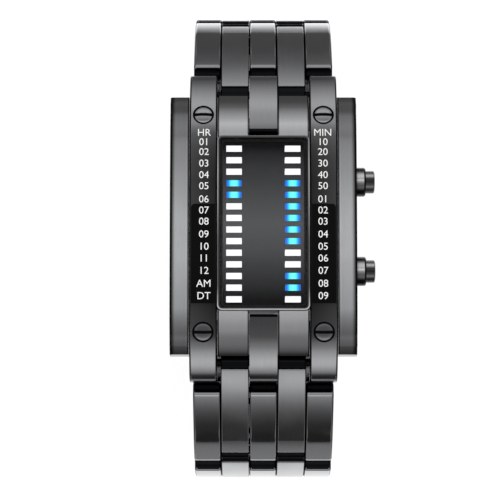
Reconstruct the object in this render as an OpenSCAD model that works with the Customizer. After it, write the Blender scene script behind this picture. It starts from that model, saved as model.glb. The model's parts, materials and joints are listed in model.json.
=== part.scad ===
// Digital watch with a two-column light display and a steel link bracelet, drawn closed as it is worn.
// The origin is the centre of the case back's outer face. +Z goes up through the dial, +Y to 12 o'clock, +X to 3.

/* [Case] */
// Width of the case over its two side plates
case_w = 35; // [32:0.5:42]
// Length of the side plates
plate_len = 48.8; // [46:0.2:51]
// Height of the case from the back plate to the top of the rails
case_t = 11.5; // [11:0.1:13]
// Radius of the nearly flat middle of the case top
flat_r = 250; // [150:5:600]
// Half length of that middle stretch
flat_half = 16; // [14:0.5:17]
// Radius of the case top at its two ends
end_r = 22; // [20:0.5:26]
// Angle along the end arc at which a lug starts to round off
lug_angle = 37; // [33:1:42]
// Radius of a lug's round end
lug_r = 3.8; // [3.2:0.1:4.2]
// Clear width between the two rails
rail_gap = 17.3; // [16.5:0.1:18.5]
// Width of a rail
rail_w = 5.2; // [4.6:0.1:5.6]
// How far the side plates lie below the rails
plate_drop = 1.3; // [0.6:0.1:2]
// How far the end blocks lie below the rails
block_drop = 0.9; // [0.3:0.1:1.6]
// Chamfer along the edges of the case and the links
edge_chamfer = 0.4; // [0.2:0.05:0.6]
// Height of the flat that the rails and the display frame sit on
seat_z = 7.2; // [7:0.1:7.6]
// Thickness of the case back
back_t = 1.4; // [1:0.1:1.6]
// Roof left between the inner cavity and the seat
roof_t = 0.7; // [0.5:0.1:1]
// Width of the inner cavity
cavity_w = 23.4; // [22.6:0.2:24]
// Length of the inner cavity
cavity_len = 31.2; // [30:0.2:32]

/* [Display] */
// Height of the display frame's rim above the case back
frame_top = 11; // [10.8:0.1:11.3]
// Width of the display frame's visible rim
rim_w = 0.45; // [0.3:0.05:0.7]
// Length of the display frame
frame_len = 32.8; // [31.6:0.2:33.4]
// Thickness of the glass
glass_t = 1.3; // [1:0.1:1.6]
// Thickness of the gasket under the glass
glass_gasket_t = 0.2; // [0.1:0.05:0.3]
// Width of the ledge that the glass rests on
ledge_w = 0.5; // [0.4:0.05:0.8]
// Length of one light bar, across the watch
bar_len = 2.9; // [2:0.1:3.4]
// Width of one light bar, along the watch
bar_w = 1.12; // [0.8:0.02:1.4]
// Distance from the middle of the watch to each column of bars
bar_x = 5.5; // [4:0.1:5.7]
// Distance between two rows of bars
bar_pitch = 2.19; // [1.9:0.01:2.2]
// Number of rows of bars
bar_rows = 14; // [10:1:14]

/* [Screws] */
// Diameter of a rail screw's head
screw_head_d = 3.5; // [3:0.1:3.8]
// Diameter of a rail screw's shank
screw_shank_d = 1.6; // [1.2:0.1:2]
// Length of a rail screw under its head
screw_len = 7.4; // [6.6:0.1:7.8]
// Distance of the rail screws from the middle of the watch
screw_y = 20.5; // [19.8:0.1:21.4]
// Width of the slot in a rail screw
slot_w = 0.6; // [0.4:0.05:0.8]
// Diameter of a case back screw's head
back_head_d = 2; // [1.6:0.1:2.2]
// Diameter of a case back screw's shank
back_shank_d = 1; // [0.8:0.05:1.2]

/* [Pushers] */
// Distance of each pusher from the middle of the watch
pusher_y = 8.5; // [7.5:0.1:9.5]
// Height of the pushers above the case back
pusher_z = 5.2; // [5.1:0.05:5.3]
// Diameter of a pusher's collar
collar_d = 5.5; // [5:0.1:5.7]
// How far the collar stands out of the case
collar_len = 1.8; // [1.2:0.1:2.2]
// Diameter of a pusher's cap
cap_d = 4.26; // [3.8:0.02:4.4]
// How far the cap stands out of the collar
cap_out = 1.75; // [1.4:0.05:2.2]
// Diameter of a pusher's stem
stem_d = 1.4; // [1.2:0.1:1.5]
// How far a pusher can be pressed in
pusher_travel = 0.9; // [0.5:0.1:1]

/* [Bracelet] */
// Width of the bracelet
band_w = 26.5; // [24:0.5:27]
// Gap between two columns of the bracelet
column_gap = 0.2; // [0.2:0.05:0.35]
// Radius of a link's outer face
link_r = 40; // [36:0.5:48]
// Thickness of a link
link_t = 4.8; // [4.4:0.1:5]
// Length of a link from pin to pin, along its outer face
link_pitch = 23.2; // [22:0.1:24]
// Distance from the pin to where an inner cap starts
cap_lead = 0.4; // [0.2:0.05:0.6]
// How far the outer and centre caps are shifted along from the inner ones
row_shift = 4.9; // [4.7:0.1:5.4]
// Distance from the end of an inner cap to the next pin
cap_tail = 1.9; // [1.8:0.1:2.4]
// Radius of the hinge barrels
barrel_r = 1.9; // [1.6:0.05:2]
// Diameter of the hinge pins
pin_d = 1.5; // [1.2:0.05:1.7]
// Diameter of the pins that hold a link's pieces together
rivet_d = 1.2; // [0.9:0.05:1.4]
// Slope of the first link at its pin
slope_1 = 27; // [24:0.5:30]
// Slope of the second link at its pin
slope_2 = 70.5; // [67:0.5:72]
// Slope of the third link at its pin
slope_3 = 133.5; // [131:0.5:136]

/* [Clasp] */
// Thickness of the two folding blades
blade_t = 1; // [0.8:0.05:1.1]
// Width of the middle blade
blade_w = 12; // [10:0.5:14]
// Height between the two folded blades
blade_step = 1.7; // [1.6:0.05:1.9]
// Thickness of the cover's outer wall
cover_t = 1.1; // [0.8:0.05:1.4]
// Thickness of the cover's side walls
cover_wall = 1.2; // [0.9:0.05:1.6]
// Distance from the bracelet's last pins to the blade hinges
hinge_inset = 5; // [4.8:0.1:6]
// Radius of the blades' knuckles
knuckle_r = 1.2; // [1.05:0.05:1.25]
// Diameter of the blade pins
blade_pin_d = 1; // [0.8:0.05:1.2]

/* [Movement] */
// Diameter of the coin cell
cell_d = 20; // [20:0.1:20.4]
// Thickness of the coin cell
cell_t = 1.6; // [1.4:0.1:1.8]
// Thickness of the circuit board
board_t = 0.8; // [0.6:0.1:1]

/* [Hidden] */
$fn = 96;
// Fragments of the long arcs, whose radius is large
ARC_FN = 720;
// Running clearance round a turning or sliding shaft
running = 0.05;
// Clearance round a piece that stays where it is
fixed = 0.03;
// Side clearance between the case's pieces
side_gap = 0.05;
// Clearance round a hinge barrel
barrel_gap = 0.2;
// How far the case's flanks lie inside its side plates' faces
core_inset = 0.02;

flat_a = asin(flat_half / flat_r);
// Centre of the end arc, as a distance towards 12 o'clock and a height
end_c = [flat_half - end_r * sin(flat_a), case_t - flat_r + (flat_r - end_r) * cos(flat_a)];
lug_pin = end_c + (end_r - lug_r) * [sin(lug_angle), cos(lug_angle)];
rail_in = rail_gap / 2;
rail_out = rail_in + rail_w;
half_w = case_w / 2;
half_plate = plate_len / 2;

// Columns of the bracelet: centre, inner and outer edges
column_w = (band_w - 4 * column_gap) / 5;
centre_x = column_w / 2;
inner_x0 = centre_x + column_gap;
inner_x1 = inner_x0 + column_w;
outer_x0 = inner_x1 + column_gap;
outer_x1 = band_w / 2;
pin_half = outer_x1 - 0.3;

// A link turns round an arm between its pin circle and the centre of its outer face
link_h = link_t / 2;
arm = link_r - link_h;
link_a = link_pitch / link_r * 180 / PI;
cap_a = cap_lead / link_r * 180 / PI;
shift_a = (cap_lead + row_shift) / link_r * 180 / PI;
tail_a = cap_tail / link_r * 180 / PI;
// The rounded nose of the outer and centre pieces clears the lug's round end
nose_r = 1.6;
nose_a = (lug_r + barrel_gap + 0.1 + nose_r) / arm * 180 / PI;
rivet_a = link_a * 0.72;

// Pin centres from the case to the clasp, each as a distance and a height
function next_pin(p, t) = p + arm * [sin(t + link_a) - sin(t), cos(t + link_a) - cos(t)];
pin_1 = next_pin(lug_pin, slope_1);
pin_2 = next_pin(pin_1, slope_2);
pin_3 = next_pin(pin_2, slope_3);

// Heights inside the clasp, from the wrist outwards
base_z = pin_3[1];
mid_z = base_z - blade_step;
blade_hinge = [-(pin_3[0] - hinge_inset), base_z - blade_step / 2];
cover_hinge = [pin_3[0] - hinge_inset, mid_z];
cover_in = mid_z - knuckle_r - 0.2;
cover_out = cover_in - cover_t;
cover_end = pin_3[0] - link_h - 0.3;
cover_wall_top = base_z + 1.2;

// Heights inside the case
cavity_top = seat_z - roof_t;
ledge_z = frame_top - 0.1 - glass_t - glass_gasket_t;
glass_half_x = rail_in - side_gap - rim_w - 0.05;
glass_half_y = frame_len / 2 - rim_w - 0.05;
mask_half_x = glass_half_x - ledge_w;
mask_half_y = glass_half_y - ledge_w;
window_half_x = mask_half_x - 0.55;
window_half_y = mask_half_y - 0.1;
mask_top = ledge_z - 0.2;
// Rows of bars that the window has room for, with a margin beyond the first and the last
bar_margin = 0.4;
rows = min(bar_rows, 1 + floor((2 * window_half_y - bar_w - 2 * bar_margin) / bar_pitch));
cell_z = back_t + 0.5;
board_z = cell_z + cell_t + 0.9;
board_top = board_z + board_t;
board_half_y = cavity_len / 2 - 0.3;
cell_y = -3;

// Pusher stations along X, from the inside to the outside
clip_t = 0.3;
clip_r = stem_d / 2 + 0.45;
clip_x = cavity_w / 2 - 0.05 - clip_t;
stem_end = clip_x - 0.35;
// The board ends short of the pressed stems
board_half_x = stem_end - pusher_travel - 0.9;
tube_x = half_w - 2.9;
tube_r = cap_d / 2 + running + 0.4;
collar_x = half_w + collar_len;
cap_inner = half_w - 0.5;
spring_wire = 0.3;
seal_r = 0.35;
seal_x = (cavity_w / 2 + tube_x) / 2;

SPRING_TURNS = 5;
SPRING_STEPS = 16;
SPRING_SIDES = 6;

back_half_x = 15.3;
back_half_y = 17.2;
back_screw_x = 13.9;
back_screw_y = 14.4;
gasket_w = 0.7;
gasket_t = 0.5;

LINK_COLOR = "#3d3e40";
PIN_COLOR = "#8c8f92";

// Turns a shape revolved about Z so that its axis lies along X and its angles run from +Z towards +Y
module along_x() {
    rotate([0, 0, 180]) rotate([0, -90, 0]) children();
}

// Section of a bar between two sides and two radii, with its outer and inner edges chamfered
module bar_section(x0, x1, r_in, r_out, c, c_in) {
    polygon([[r_in + c_in, x0], [r_in, x0 + c_in], [r_in, x1 - c_in], [r_in + c_in, x1], [r_out - c, x1],
             [r_out, x1 - c], [r_out, x0 + c], [r_out - c, x0]]);
}

// Bar bent along an arc about the X axis, from angle a0 to a1
module arc_bar(x0, x1, r_in, r_out, a0, a1, c = edge_chamfer, c_in = 0) {
    along_x() rotate([0, 0, -a1])
        rotate_extrude(angle = a1 - a0, $fn = ARC_FN) bar_section(x0, x1, r_in, r_out, c, c_in);
}

// Half cylinder about the X axis that rounds off a bar, from angle a on
module half_round(x0, x1, r, a, c = edge_chamfer) {
    along_x() rotate([0, 0, -a - 180]) rotate_extrude(angle = 180)
        polygon([[0, x0], [r - c, x0], [r, x0 + c], [r, x1 - c], [r - c, x1], [0, x1]]);
}

// Cylinder along X between two sides
module rod(x0, x1, r) {
    translate([x0, 0, 0]) rotate([0, 90, 0]) cylinder(h = x1 - x0, r = r);
}

// Barrel along X with chamfered ends
module barrel(x0, x1, r, c = 0.25) {
    along_x() rotate_extrude()
        polygon([[0, x0], [r - c, x0], [r, x0 + c], [r, x1 - c], [r - c, x1], [0, x1]]);
}

// Places its children at a point of the side view
module at(p) {
    translate([0, p[0], p[1]]) children();
}

// Both mirror images across the X = 0 plane
module both_sides() {
    children();
    mirror([1, 0, 0]) children();
}

// Both mirror images across the Y = 0 plane
module both_ends() {
    children();
    mirror([0, 1, 0]) children();
}

// Slab with straight sides and rounded corners
module slab(half_x, half_y, z0, z1, r) {
    translate([0, 0, z0]) linear_extrude(z1 - z0) union() {
        square([2 * half_x - 2 * r, 2 * half_y], center = true);
        square([2 * half_x, 2 * half_y - 2 * r], center = true);
        for (x = [-1, 1], y = [-1, 1])
            translate([x * (half_x - r), y * (half_y - r)]) circle(r);
    }
}

// Arched strip that follows the case top, a given drop below it, up to an angle on the end arcs
module arch(x0, x1, drop, deep, a_end, c = edge_chamfer) {
    intersection() {
        at([0, case_t - flat_r])
            arc_bar(x0, x1, flat_r - drop - deep, flat_r - drop, -flat_a - 1, flat_a + 1, c);
        translate([x0 - 1, -flat_half, -40]) cube([x1 - x0 + 2, 2 * flat_half, 80]);
    }
    both_ends() intersection() {
        at(end_c) arc_bar(x0, x1, end_r - drop - deep, end_r - drop, -30, a_end, c);
        translate([x0 - 1, flat_half, -40]) cube([x1 - x0 + 2, 40, 80]);
    }
}

// The seat and everything below it between the sloping lug roots
module below_seat(x0, x1) {
    root = flat_half + 2;
    translate([x0, -root, -20]) cube([x1 - x0, 2 * root, 20 + seat_z]);
    both_ends() translate([x0, 0, 0]) rotate([90, 0, 90]) linear_extrude(x1 - x0)
        polygon([[root - 1, seat_z - 1], [root, seat_z], [root + 3.5, -0.6], [root + 3.5, -20], [root - 1, -20]]);
}

// Side view of everything above the seat and outside the two sloping lug roots
module above_seat(x0, x1, slack) {
    root = flat_half + 2 - slack;
    translate([x0, 0, 0]) rotate([90, 0, 90]) linear_extrude(x1 - x0)
        polygon([[-root, seat_z], [root, seat_z], [root + 3.5, -0.6], [root + 3.5, -20], [60, -20], [60, 40],
                 [-60, 40], [-60, -20], [-root - 3.5, -20], [-root - 3.5, -0.6]]);
}

// One lug with its round end, from the flat stretch out to the pin
module lug_end(x0, x1) {
    at(lug_pin) half_round(x0, x1, lug_r, lug_angle);
}

// Rail between two sides: it carries two lugs and two screw seats
module rail(x0, x1) {
    difference() {
        union() {
            arch(x0, x1, 0, 2 * lug_r, lug_angle);
            both_ends() lug_end(x0, x1);
        }
        below_seat(x0 - 1, x1 + 1);
        both_ends() at(lug_pin) rod(x0 - 1, x1 + 1, pin_d / 2 + fixed);
        // Notch where a wide rail would reach over a pusher's tube
        both_ends() translate([0, pusher_y, pusher_z]) rod(tube_x - side_gap, half_w, tube_r + side_gap);
        both_ends() screw_place((x0 + x1) / 2) {
            translate([0, 0, -1.1]) cylinder(h = 5, d = screw_head_d + 0.4);
            translate([0, 0, -screw_len - 3]) cylinder(h = screw_len + 3, d = screw_shank_d + 2 * fixed);
        }
    }
}

// Puts its children on a rail's surface, with Z along the surface's own normal
module screw_place(x) {
    a = asin((screw_y - end_c[0]) / end_r);
    translate([x, 0, 0]) at(end_c) rotate([-a, 0, 0]) translate([0, 0, end_r]) children();
}

module rail_left() {
    color("#3a3b3d") rail(-rail_out, -rail_in);
}

module rail_right() {
    color("#3a3b3d") rail(rail_in, rail_out);
}

// Short lug between the end blocks, in line with the bracelet's centre column
module centre_lug() {
    start = frame_len / 2 + 1.1;
    difference() {
        union() {
            at(end_c) arc_bar(-centre_x, centre_x, end_r - 2 * lug_r, end_r, 0, lug_angle);
            lug_end(-centre_x, centre_x);
        }
        below_seat(-centre_x - 1, centre_x + 1);
        translate([-20, start - 20, -20]) cube([40, 20, 60]);
        at(lug_pin) rod(-centre_x - 1, centre_x + 1, pin_d / 2 + fixed);
        translate([0, start, case_t - 0.6]) rotate([45, 0, 0]) cube([40, 0.9, 0.9], center = true);
    }
}

module centre_lug_12() {
    color("#3a3b3d") centre_lug();
}

module centre_lug_6() {
    color("#3a3b3d") mirror([0, 1, 0]) centre_lug();
}

// The two pins in the case's lugs, which the first links turn on
module lug_pins() {
    color("#8c8f92") both_ends() at(lug_pin) rod(-rail_out + 0.3, rail_out - 0.3, pin_d / 2);
}

// Slotted screw with a domed head, its top at Z = 0
module rail_screw() {
    head_t = 0.9;
    dome = 0.35;
    dome_r = (screw_head_d * screw_head_d / 4 + dome * dome) / (2 * dome);
    difference() {
        union() {
            intersection() {
                translate([0, 0, -head_t]) cylinder(h = head_t + dome, d = screw_head_d);
                translate([0, 0, dome - dome_r]) sphere(r = dome_r, $fn = 200);
            }
            translate([0, 0, -head_t - screw_len]) cylinder(h = screw_len + 0.1, d = screw_shank_d);
        }
        translate([0, 0, dome]) cube([screw_head_d + 1, slot_w, 1.3], center = true);
    }
}

module rail_screws() {
    color("#4a4b4e") both_sides() both_ends() screw_place((rail_in + rail_out) / 2)
        translate([0, 0, -0.2]) rail_screw();
}

// Steel middle of the case: core, side plates and the four end blocks
module case_body() {
    block_start = frame_len / 2 + 0.1;
    block_end = lug_pin[0] - 0.9;
    block_x0 = centre_x + 0.15;
    block_x1 = rail_in - 2 * side_gap;
    plate_in = rail_out + 2 * side_gap;
    color("#333436") difference() {
        union() {
            // Arched top over a core that is set in a hair, with the channel between the side plates
            difference() {
                union() {
                    arch(-half_w, half_w, plate_drop, 4, lug_angle + 8);
                    translate([core_inset - half_w, 1.4 - half_plate, back_t])
                        cube([case_w - 2 * core_inset, plate_len - 2.8, seat_z]);
                }
                translate([-plate_in, -40, seat_z]) cube([2 * plate_in, 80, 20]);
                both_ends() translate([-30, half_plate, -30]) cube([60, 20, 60]);
            }
            both_sides() both_ends() end_block(block_x0, block_x1, block_start, block_end);
        }
        // Underside slopes up to both ends
        both_ends() translate([-half_w - 1, 0, 0]) rotate([90, 0, 90]) linear_extrude(case_w + 2)
            polygon([[back_half_y + 0.6, back_t], [half_plate + 1, back_t + 2], [half_plate + 1, -5],
                     [back_half_y + 0.6, -5]]);
        // Room for the rails' lugs and the centre lugs
        both_sides() lug_room(rail_in - side_gap, rail_out + side_gap);
        lug_room(-centre_x - 0.1, centre_x + 0.1);
        // Room for the barrels of the first links
        both_sides() both_ends() at(lug_pin) barrel_room(block_x0 - 0.1, block_x1 + 0.1);
        // Cavity for the movement, and the window above it
        slab(cavity_w / 2, cavity_len / 2, -1, cavity_top, 3);
        slab(window_half_x, window_half_y, 1, 20, 0.8);
        // Threaded holes
        both_sides() both_ends() screw_place((rail_in + rail_out) / 2)
            translate([0, 0, -screw_len - 1.4]) cylinder(h = screw_len + 3, d = screw_shank_d + 2 * fixed);
        both_sides() both_ends() translate([back_screw_x, back_screw_y, 0])
            cylinder(h = back_t + 2.4, d = back_shank_d + 2 * fixed);
        // Pusher bores
        both_ends() translate([0, pusher_y, pusher_z]) {
            rod(1, half_w, stem_d / 2 + running);
            rod(seal_x - seal_r - 0.1, seal_x + seal_r + 0.1, stem_d / 2 + 2 * seal_r + 0.1);
            rod(tube_x, half_w + 5, tube_r + fixed);
        }
        // Seat of the back gasket
        difference() {
            slab(cavity_w / 2 + 0.25 + gasket_w, cavity_len / 2 + 0.25 + gasket_w, 0, back_t + gasket_t - 0.1, 3);
            slab(cavity_w / 2 + 0.2, cavity_len / 2 + 0.2, -1, back_t + gasket_t, 2.5);
        }
    }
}

// Sloping block between a rail and a centre lug
module end_block(x0, x1, start, end) {
    difference() {
        at(end_c) arc_bar(x0, x1, end_r - block_drop - 5, end_r - block_drop, 0, lug_angle, 0.25);
        translate([0, start - 20, -20]) cube([20, 20, 60]);
        translate([0, end, -20]) cube([20, 20, 60]);
    }
}

// Cut for lugs between two sides: everything outside their sloping roots
module lug_room(x0, x1) {
    intersection() {
        above_seat(x0, x1, 0.1);
        translate([x0 - 1, -60, -20]) cube([x1 - x0 + 2, 120, 60]);
    }
}

// Cut for a barrel, open towards the outside and below
module barrel_room(x0, x1) {
    r = barrel_r + barrel_gap;
    translate([x0, 0, 0]) rotate([0, 90, 0]) cylinder(h = x1 - x0, r = r / cos(15), $fn = 12);
    translate([x0, -r, -20]) cube([x1 - x0, 40, 20]);
}

// Frame round the glass, seated between the rails
module display_frame() {
    color("#5c5d60") difference() {
        slab(rail_in - side_gap, frame_len / 2, seat_z, frame_top, 0.9);
        slab(mask_half_x + 0.05, mask_half_y + 0.05, seat_z - 1, frame_top + 1, 0.5);
        slab(glass_half_x + 0.05, glass_half_y + 0.05, ledge_z, frame_top + 1, 0.6);
    }
}

module glass_gasket() {
    color("#141414") difference() {
        slab(glass_half_x, glass_half_y, ledge_z, ledge_z + glass_gasket_t, 0.55);
        slab(mask_half_x + 0.05, mask_half_y + 0.05, ledge_z - 1, frame_top, 0.5);
    }
}

module glass() {
    color("#202428", 0.5) slab(glass_half_x, glass_half_y, ledge_z + glass_gasket_t, frame_top - 0.1, 0.55);
}

// One column of bars at a given half size
module bars(x, half_x, half_y, z0, z1) {
    for (row = [0 : rows - 1])
        translate([x - half_x, (row - (rows - 1) / 2) * bar_pitch - half_y, z0])
            cube([2 * half_x, 2 * half_y, z1 - z0]);
}

// Dark plate with a slot for each light bar
module led_mask() {
    color("#1b1c1e") difference() {
        slab(mask_half_x, mask_half_y, seat_z, mask_top, 0.5);
        for (side = [-1, 1])
            bars(side * bar_x, bar_len / 2 + running, bar_w / 2 + running, seat_z - 1, mask_top + 1);
    }
}

module hour_leds() {
    color("#f2f4f6") bars(-bar_x, bar_len / 2, bar_w / 2, board_top, mask_top - 0.05);
}

module minute_leds() {
    color("#f2f4f6") bars(bar_x, bar_len / 2, bar_w / 2, board_top, mask_top - 0.05);
}

module circuit_board() {
    color("#1f5a36") slab(board_half_x, board_half_y, board_z, board_top, 1);
}

module driver_chip() {
    color("#18191b") translate([-2.5, -3.5, board_top]) cube([5, 7, 0.9]);
}

module quartz_can() {
    color("#c4c7ca") translate([0, 7, board_top + 0.7]) rotate([-90, 0, 0]) cylinder(h = 5, r = 0.7);
}

// Sprung leaves that the pusher stems close
module switch_contacts() {
    leaf_x = stem_end - pusher_travel - 0.35;
    color("#b8924a") both_ends() translate([board_half_x - 1, pusher_y - 1, board_top]) {
        cube([leaf_x + 1.2 - board_half_x, 2, 0.2]);
        translate([leaf_x + 1 - board_half_x, 0, 0]) cube([0.2, 2, 1.1]);
    }
}

// Plastic holder with the coin cell's pocket
module movement_holder() {
    color("#26282a") difference() {
        slab(cavity_w / 2 - 0.15, cavity_len / 2 - 0.15, back_t + 0.3, board_z, 2.8);
        translate([0, cell_y, 0]) cylinder(h = 20, d = cell_d + 0.2);
        // Recess for the spring clip over the cell
        translate([-2, cell_y - 14, 0]) cube([4, 28, cell_z - 0.05]);
        // Room for the pushers' clips
        both_ends() translate([clip_x - pusher_travel - 0.2, pusher_y - clip_r - 0.2, pusher_z - clip_r - 0.15])
            cube([5, 2 * clip_r + 0.4, 5]);
    }
}

module battery() {
    color("#c9cbce") translate([0, cell_y, cell_z]) cylinder(h = cell_t, d = cell_d);
}

// Spring strap under the cell, held in the holder's recess
module battery_clip() {
    color("#9fa2a5") translate([-1.8, cell_y - 12, cell_z - 0.25]) cube([3.6, 24, 0.2]);
}

module back_gasket() {
    color("#161616") difference() {
        slab(cavity_w / 2 + 0.2 + gasket_w, cavity_len / 2 + 0.2 + gasket_w, back_t, back_t + gasket_t - 0.15, 2.95);
        slab(cavity_w / 2 + 0.25, cavity_len / 2 + 0.25, back_t - 1, back_t + gasket_t, 2.55);
    }
}

module case_back() {
    color("#77797c") difference() {
        slab(back_half_x, back_half_y, 0, back_t, 3);
        both_sides() both_ends() translate([back_screw_x, back_screw_y, -1]) {
            cylinder(h = back_t + 2, d = back_shank_d + 2 * fixed);
            cylinder(h = 1.8, d = back_head_d + 0.2);
        }
    }
}

module back_screws() {
    color("#8a8d90") both_sides() both_ends() translate([back_screw_x, back_screw_y, 0]) difference() {
        union() {
            translate([0, 0, 0.1]) cylinder(h = 0.7, d = back_head_d);
            translate([0, 0, 0.1]) cylinder(h = back_t + 1.9, d = back_shank_d);
        }
        cube([back_head_d + 1, 0.3, 0.7], center = true);
    }
}

// Collared tubes pressed into the case side
module pusher_tubes() {
    color("#3f4042") both_ends() translate([0, pusher_y, pusher_z]) difference() {
        union() {
            rod(tube_x, half_w + 0.1, tube_r);
            barrel(half_w, collar_x, collar_d / 2, 0.3);
        }
        rod(tube_x - 1, collar_x + 1, cap_d / 2 + running);
    }
}

module pusher_seals() {
    color("#111111") both_ends() translate([seal_x, pusher_y, pusher_z]) rotate([0, 90, 0])
        rotate_extrude() translate([stem_d / 2 + 0.03 + seal_r, 0]) circle(seal_r, $fn = 32);
}

// Points of one spring: a helix along X between the tube's floor and the cap
module spring() {
    r = stem_d / 2 + 0.25 + spring_wire / 2;
    x0 = tube_x + 0.05 + spring_wire / 2;
    x1 = cap_inner - 0.05 - spring_wire / 2;
    rings = SPRING_TURNS * SPRING_STEPS;
    function helix(i) = [x0 + (x1 - x0) * i / rings, r * cos(360 * i / SPRING_STEPS), r * sin(360 * i / SPRING_STEPS)];
    points = [for (i = [0 : rings], k = [0 : SPRING_SIDES - 1])
        let (a = 360 * i / SPRING_STEPS, b = 360 * k / SPRING_SIDES, w = spring_wire / 2)
            helix(i) + w * [sin(b), cos(b) * cos(a), cos(b) * sin(a)]];
    sides = [for (i = [0 : rings - 1], k = [0 : SPRING_SIDES - 1])
        let (m = (k + 1) % SPRING_SIDES, p = i * SPRING_SIDES)
            each [[p + k, p + m, p + SPRING_SIDES + m], [p + k, p + SPRING_SIDES + m, p + SPRING_SIDES + k]]];
    first = [for (k = [1 : SPRING_SIDES - 2]) [0, k + 1, k]];
    top = rings * SPRING_SIDES;
    last = [for (k = [1 : SPRING_SIDES - 2]) [top, top + k, top + k + 1]];
    polyhedron(points, concat(sides, first, last));
}

module spring_upper() {
    color("#a9acaf") translate([0, pusher_y, pusher_z]) spring();
}

module spring_lower() {
    color("#a9acaf") translate([0, -pusher_y, pusher_z]) spring();
}

// Push button: cap, stem and the clip that stops it from coming out
module pusher(y) {
    color("#46474a") translate([0, y, pusher_z]) {
        barrel(cap_inner, collar_x + cap_out, cap_d / 2, 0.35);
        rod(stem_end, cap_inner + 0.1, stem_d / 2);
        rod(clip_x, clip_x + clip_t, clip_r);
    }
}

module pusher_upper() {
    pusher(pusher_y);
}

module pusher_lower() {
    pusher(-pusher_y);
}

// Arc of one link piece, from angle a0 to a1 on the link's own arc
module link_arc(x0, x1, a0, a1) {
    at([0, -arm]) arc_bar(x0, x1, link_r - link_t, link_r, a0, a1, edge_chamfer, edge_chamfer);
}

// Puts its children at an angle along a link's arc, on the pin circle
module on_link(a) {
    at([arm * sin(a), arm * cos(a) - arm]) rotate([-a, 0, 0]) children();
}

// Small wedge that chamfers the outer edge of a cap's end
module end_wedge(a) {
    on_link(a) translate([0, 0, link_h]) rotate([45, 0, 0])
        cube([60, edge_chamfer * sqrt(2), edge_chamfer * sqrt(2)], center = true);
}

// One piece of a link. Its near end is a barrel on the pin or a nose; its far end is round or a hollow.
module link_piece(x0, x1, near_barrel, far_round, tail = tail_a) {
    a0 = near_barrel ? cap_a : shift_a;
    a1 = far_round ? link_a : link_a - tail;
    difference() {
        union() {
            link_arc(x0, x1, a0, a1);
            if (near_barrel) barrel(x0 + 0.05, x1 - 0.05, barrel_r);
            if (!near_barrel) on_link(nose_a) barrel(x0, x1, nose_r);
            if (far_round) on_link(link_a) barrel(x0, x1, link_h - 0.02, edge_chamfer);
        }
        if (near_barrel) rod(x0 - 1, x1 + 1, pin_d / 2 + running);
        if (far_round) on_link(link_a) rod(x0 - 1, x1 + 1, pin_d / 2 + fixed);
        if (!far_round) on_link(link_a) rod(x0 - 1, x1 + 1, barrel_r + barrel_gap);
        on_link(nose_a) rod(x0 - 1, x1 + 1, rivet_d / 2 + fixed);
        on_link(rivet_a) rod(x0 - 1, x1 + 1, rivet_d / 2 + fixed);
        end_wedge(a0);
        if (!far_round) end_wedge(a1);
    }
}

module outer_pieces(far_round, tail = tail_a) {
    both_sides() link_piece(outer_x0, outer_x1, false, far_round, tail);
}

module inner_pieces(far_round) {
    both_sides() link_piece(inner_x0, inner_x1, true, far_round);
}

module centre_piece() {
    link_piece(-centre_x, centre_x, false, true);
}

// Two pins that hold the link's pieces together, and the hinge pin at its far end
module pins(hinge) {
    on_link(nose_a) rod(-pin_half, pin_half, rivet_d / 2);
    on_link(rivet_a) rod(-pin_half, pin_half, rivet_d / 2);
    if (hinge) on_link(link_a) rod(-pin_half, pin_half, pin_d / 2);
}

// Places a link on one side of the watch: side is 1 towards 12 o'clock and -1 towards 6
module place_link(side, number) {
    p = number == 1 ? lug_pin : number == 2 ? pin_1 : pin_2;
    t = number == 1 ? slope_1 : number == 2 ? slope_2 : slope_3;
    mirror([0, side > 0 ? 0 : 1, 0]) at(p) rotate([-t, 0, 0]) children();
}

module link_12_1_outer() { color(LINK_COLOR) place_link(1, 1) outer_pieces(true); }
module link_12_1_inner() { color(LINK_COLOR) place_link(1, 1) inner_pieces(false); }
module link_12_1_centre() { color(LINK_COLOR) place_link(1, 1) centre_piece(); }
module link_12_1_pins() { color(PIN_COLOR) place_link(1, 1) pins(true); }
module link_12_2_outer() { color(LINK_COLOR) place_link(1, 2) outer_pieces(true); }
module link_12_2_inner() { color(LINK_COLOR) place_link(1, 2) inner_pieces(false); }
module link_12_2_centre() { color(LINK_COLOR) place_link(1, 2) centre_piece(); }
module link_12_2_pins() { color(PIN_COLOR) place_link(1, 2) pins(true); }
module link_12_3_outer() { color(LINK_COLOR) place_link(1, 3) outer_pieces(true); }
module link_12_3_inner() { color(LINK_COLOR) place_link(1, 3) inner_pieces(false); }
module link_12_3_centre() { color(LINK_COLOR) place_link(1, 3) centre_piece(); }
module link_12_3_pins() { color(PIN_COLOR) place_link(1, 3) pins(true); }
module link_6_1_outer() { color(LINK_COLOR) place_link(-1, 1) outer_pieces(true); }
module link_6_1_inner() { color(LINK_COLOR) place_link(-1, 1) inner_pieces(false); }
module link_6_1_centre() { color(LINK_COLOR) place_link(-1, 1) centre_piece(); }
module link_6_1_pins() { color(PIN_COLOR) place_link(-1, 1) pins(true); }
module link_6_2_outer() { color(LINK_COLOR) place_link(-1, 2) outer_pieces(true); }
module link_6_2_inner() { color(LINK_COLOR) place_link(-1, 2) inner_pieces(false); }
module link_6_2_centre() { color(LINK_COLOR) place_link(-1, 2) centre_piece(); }
module link_6_2_pins() { color(PIN_COLOR) place_link(-1, 2) pins(true); }
// The last link at 6 o'clock ends in a tongue of its inner and centre pieces, which the clasp cover straddles
module link_6_3_outer() {
    color(LINK_COLOR) place_link(-1, 3) outer_pieces(false, (cap_tail + 0.7) / link_r * 180 / PI);
}
module link_6_3_inner() { color(LINK_COLOR) place_link(-1, 3) inner_pieces(true); }
module link_6_3_centre() { color(LINK_COLOR) place_link(-1, 3) centre_piece(); }
module link_6_3_pins() { color(PIN_COLOR) place_link(-1, 3) pins(false); }

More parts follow.
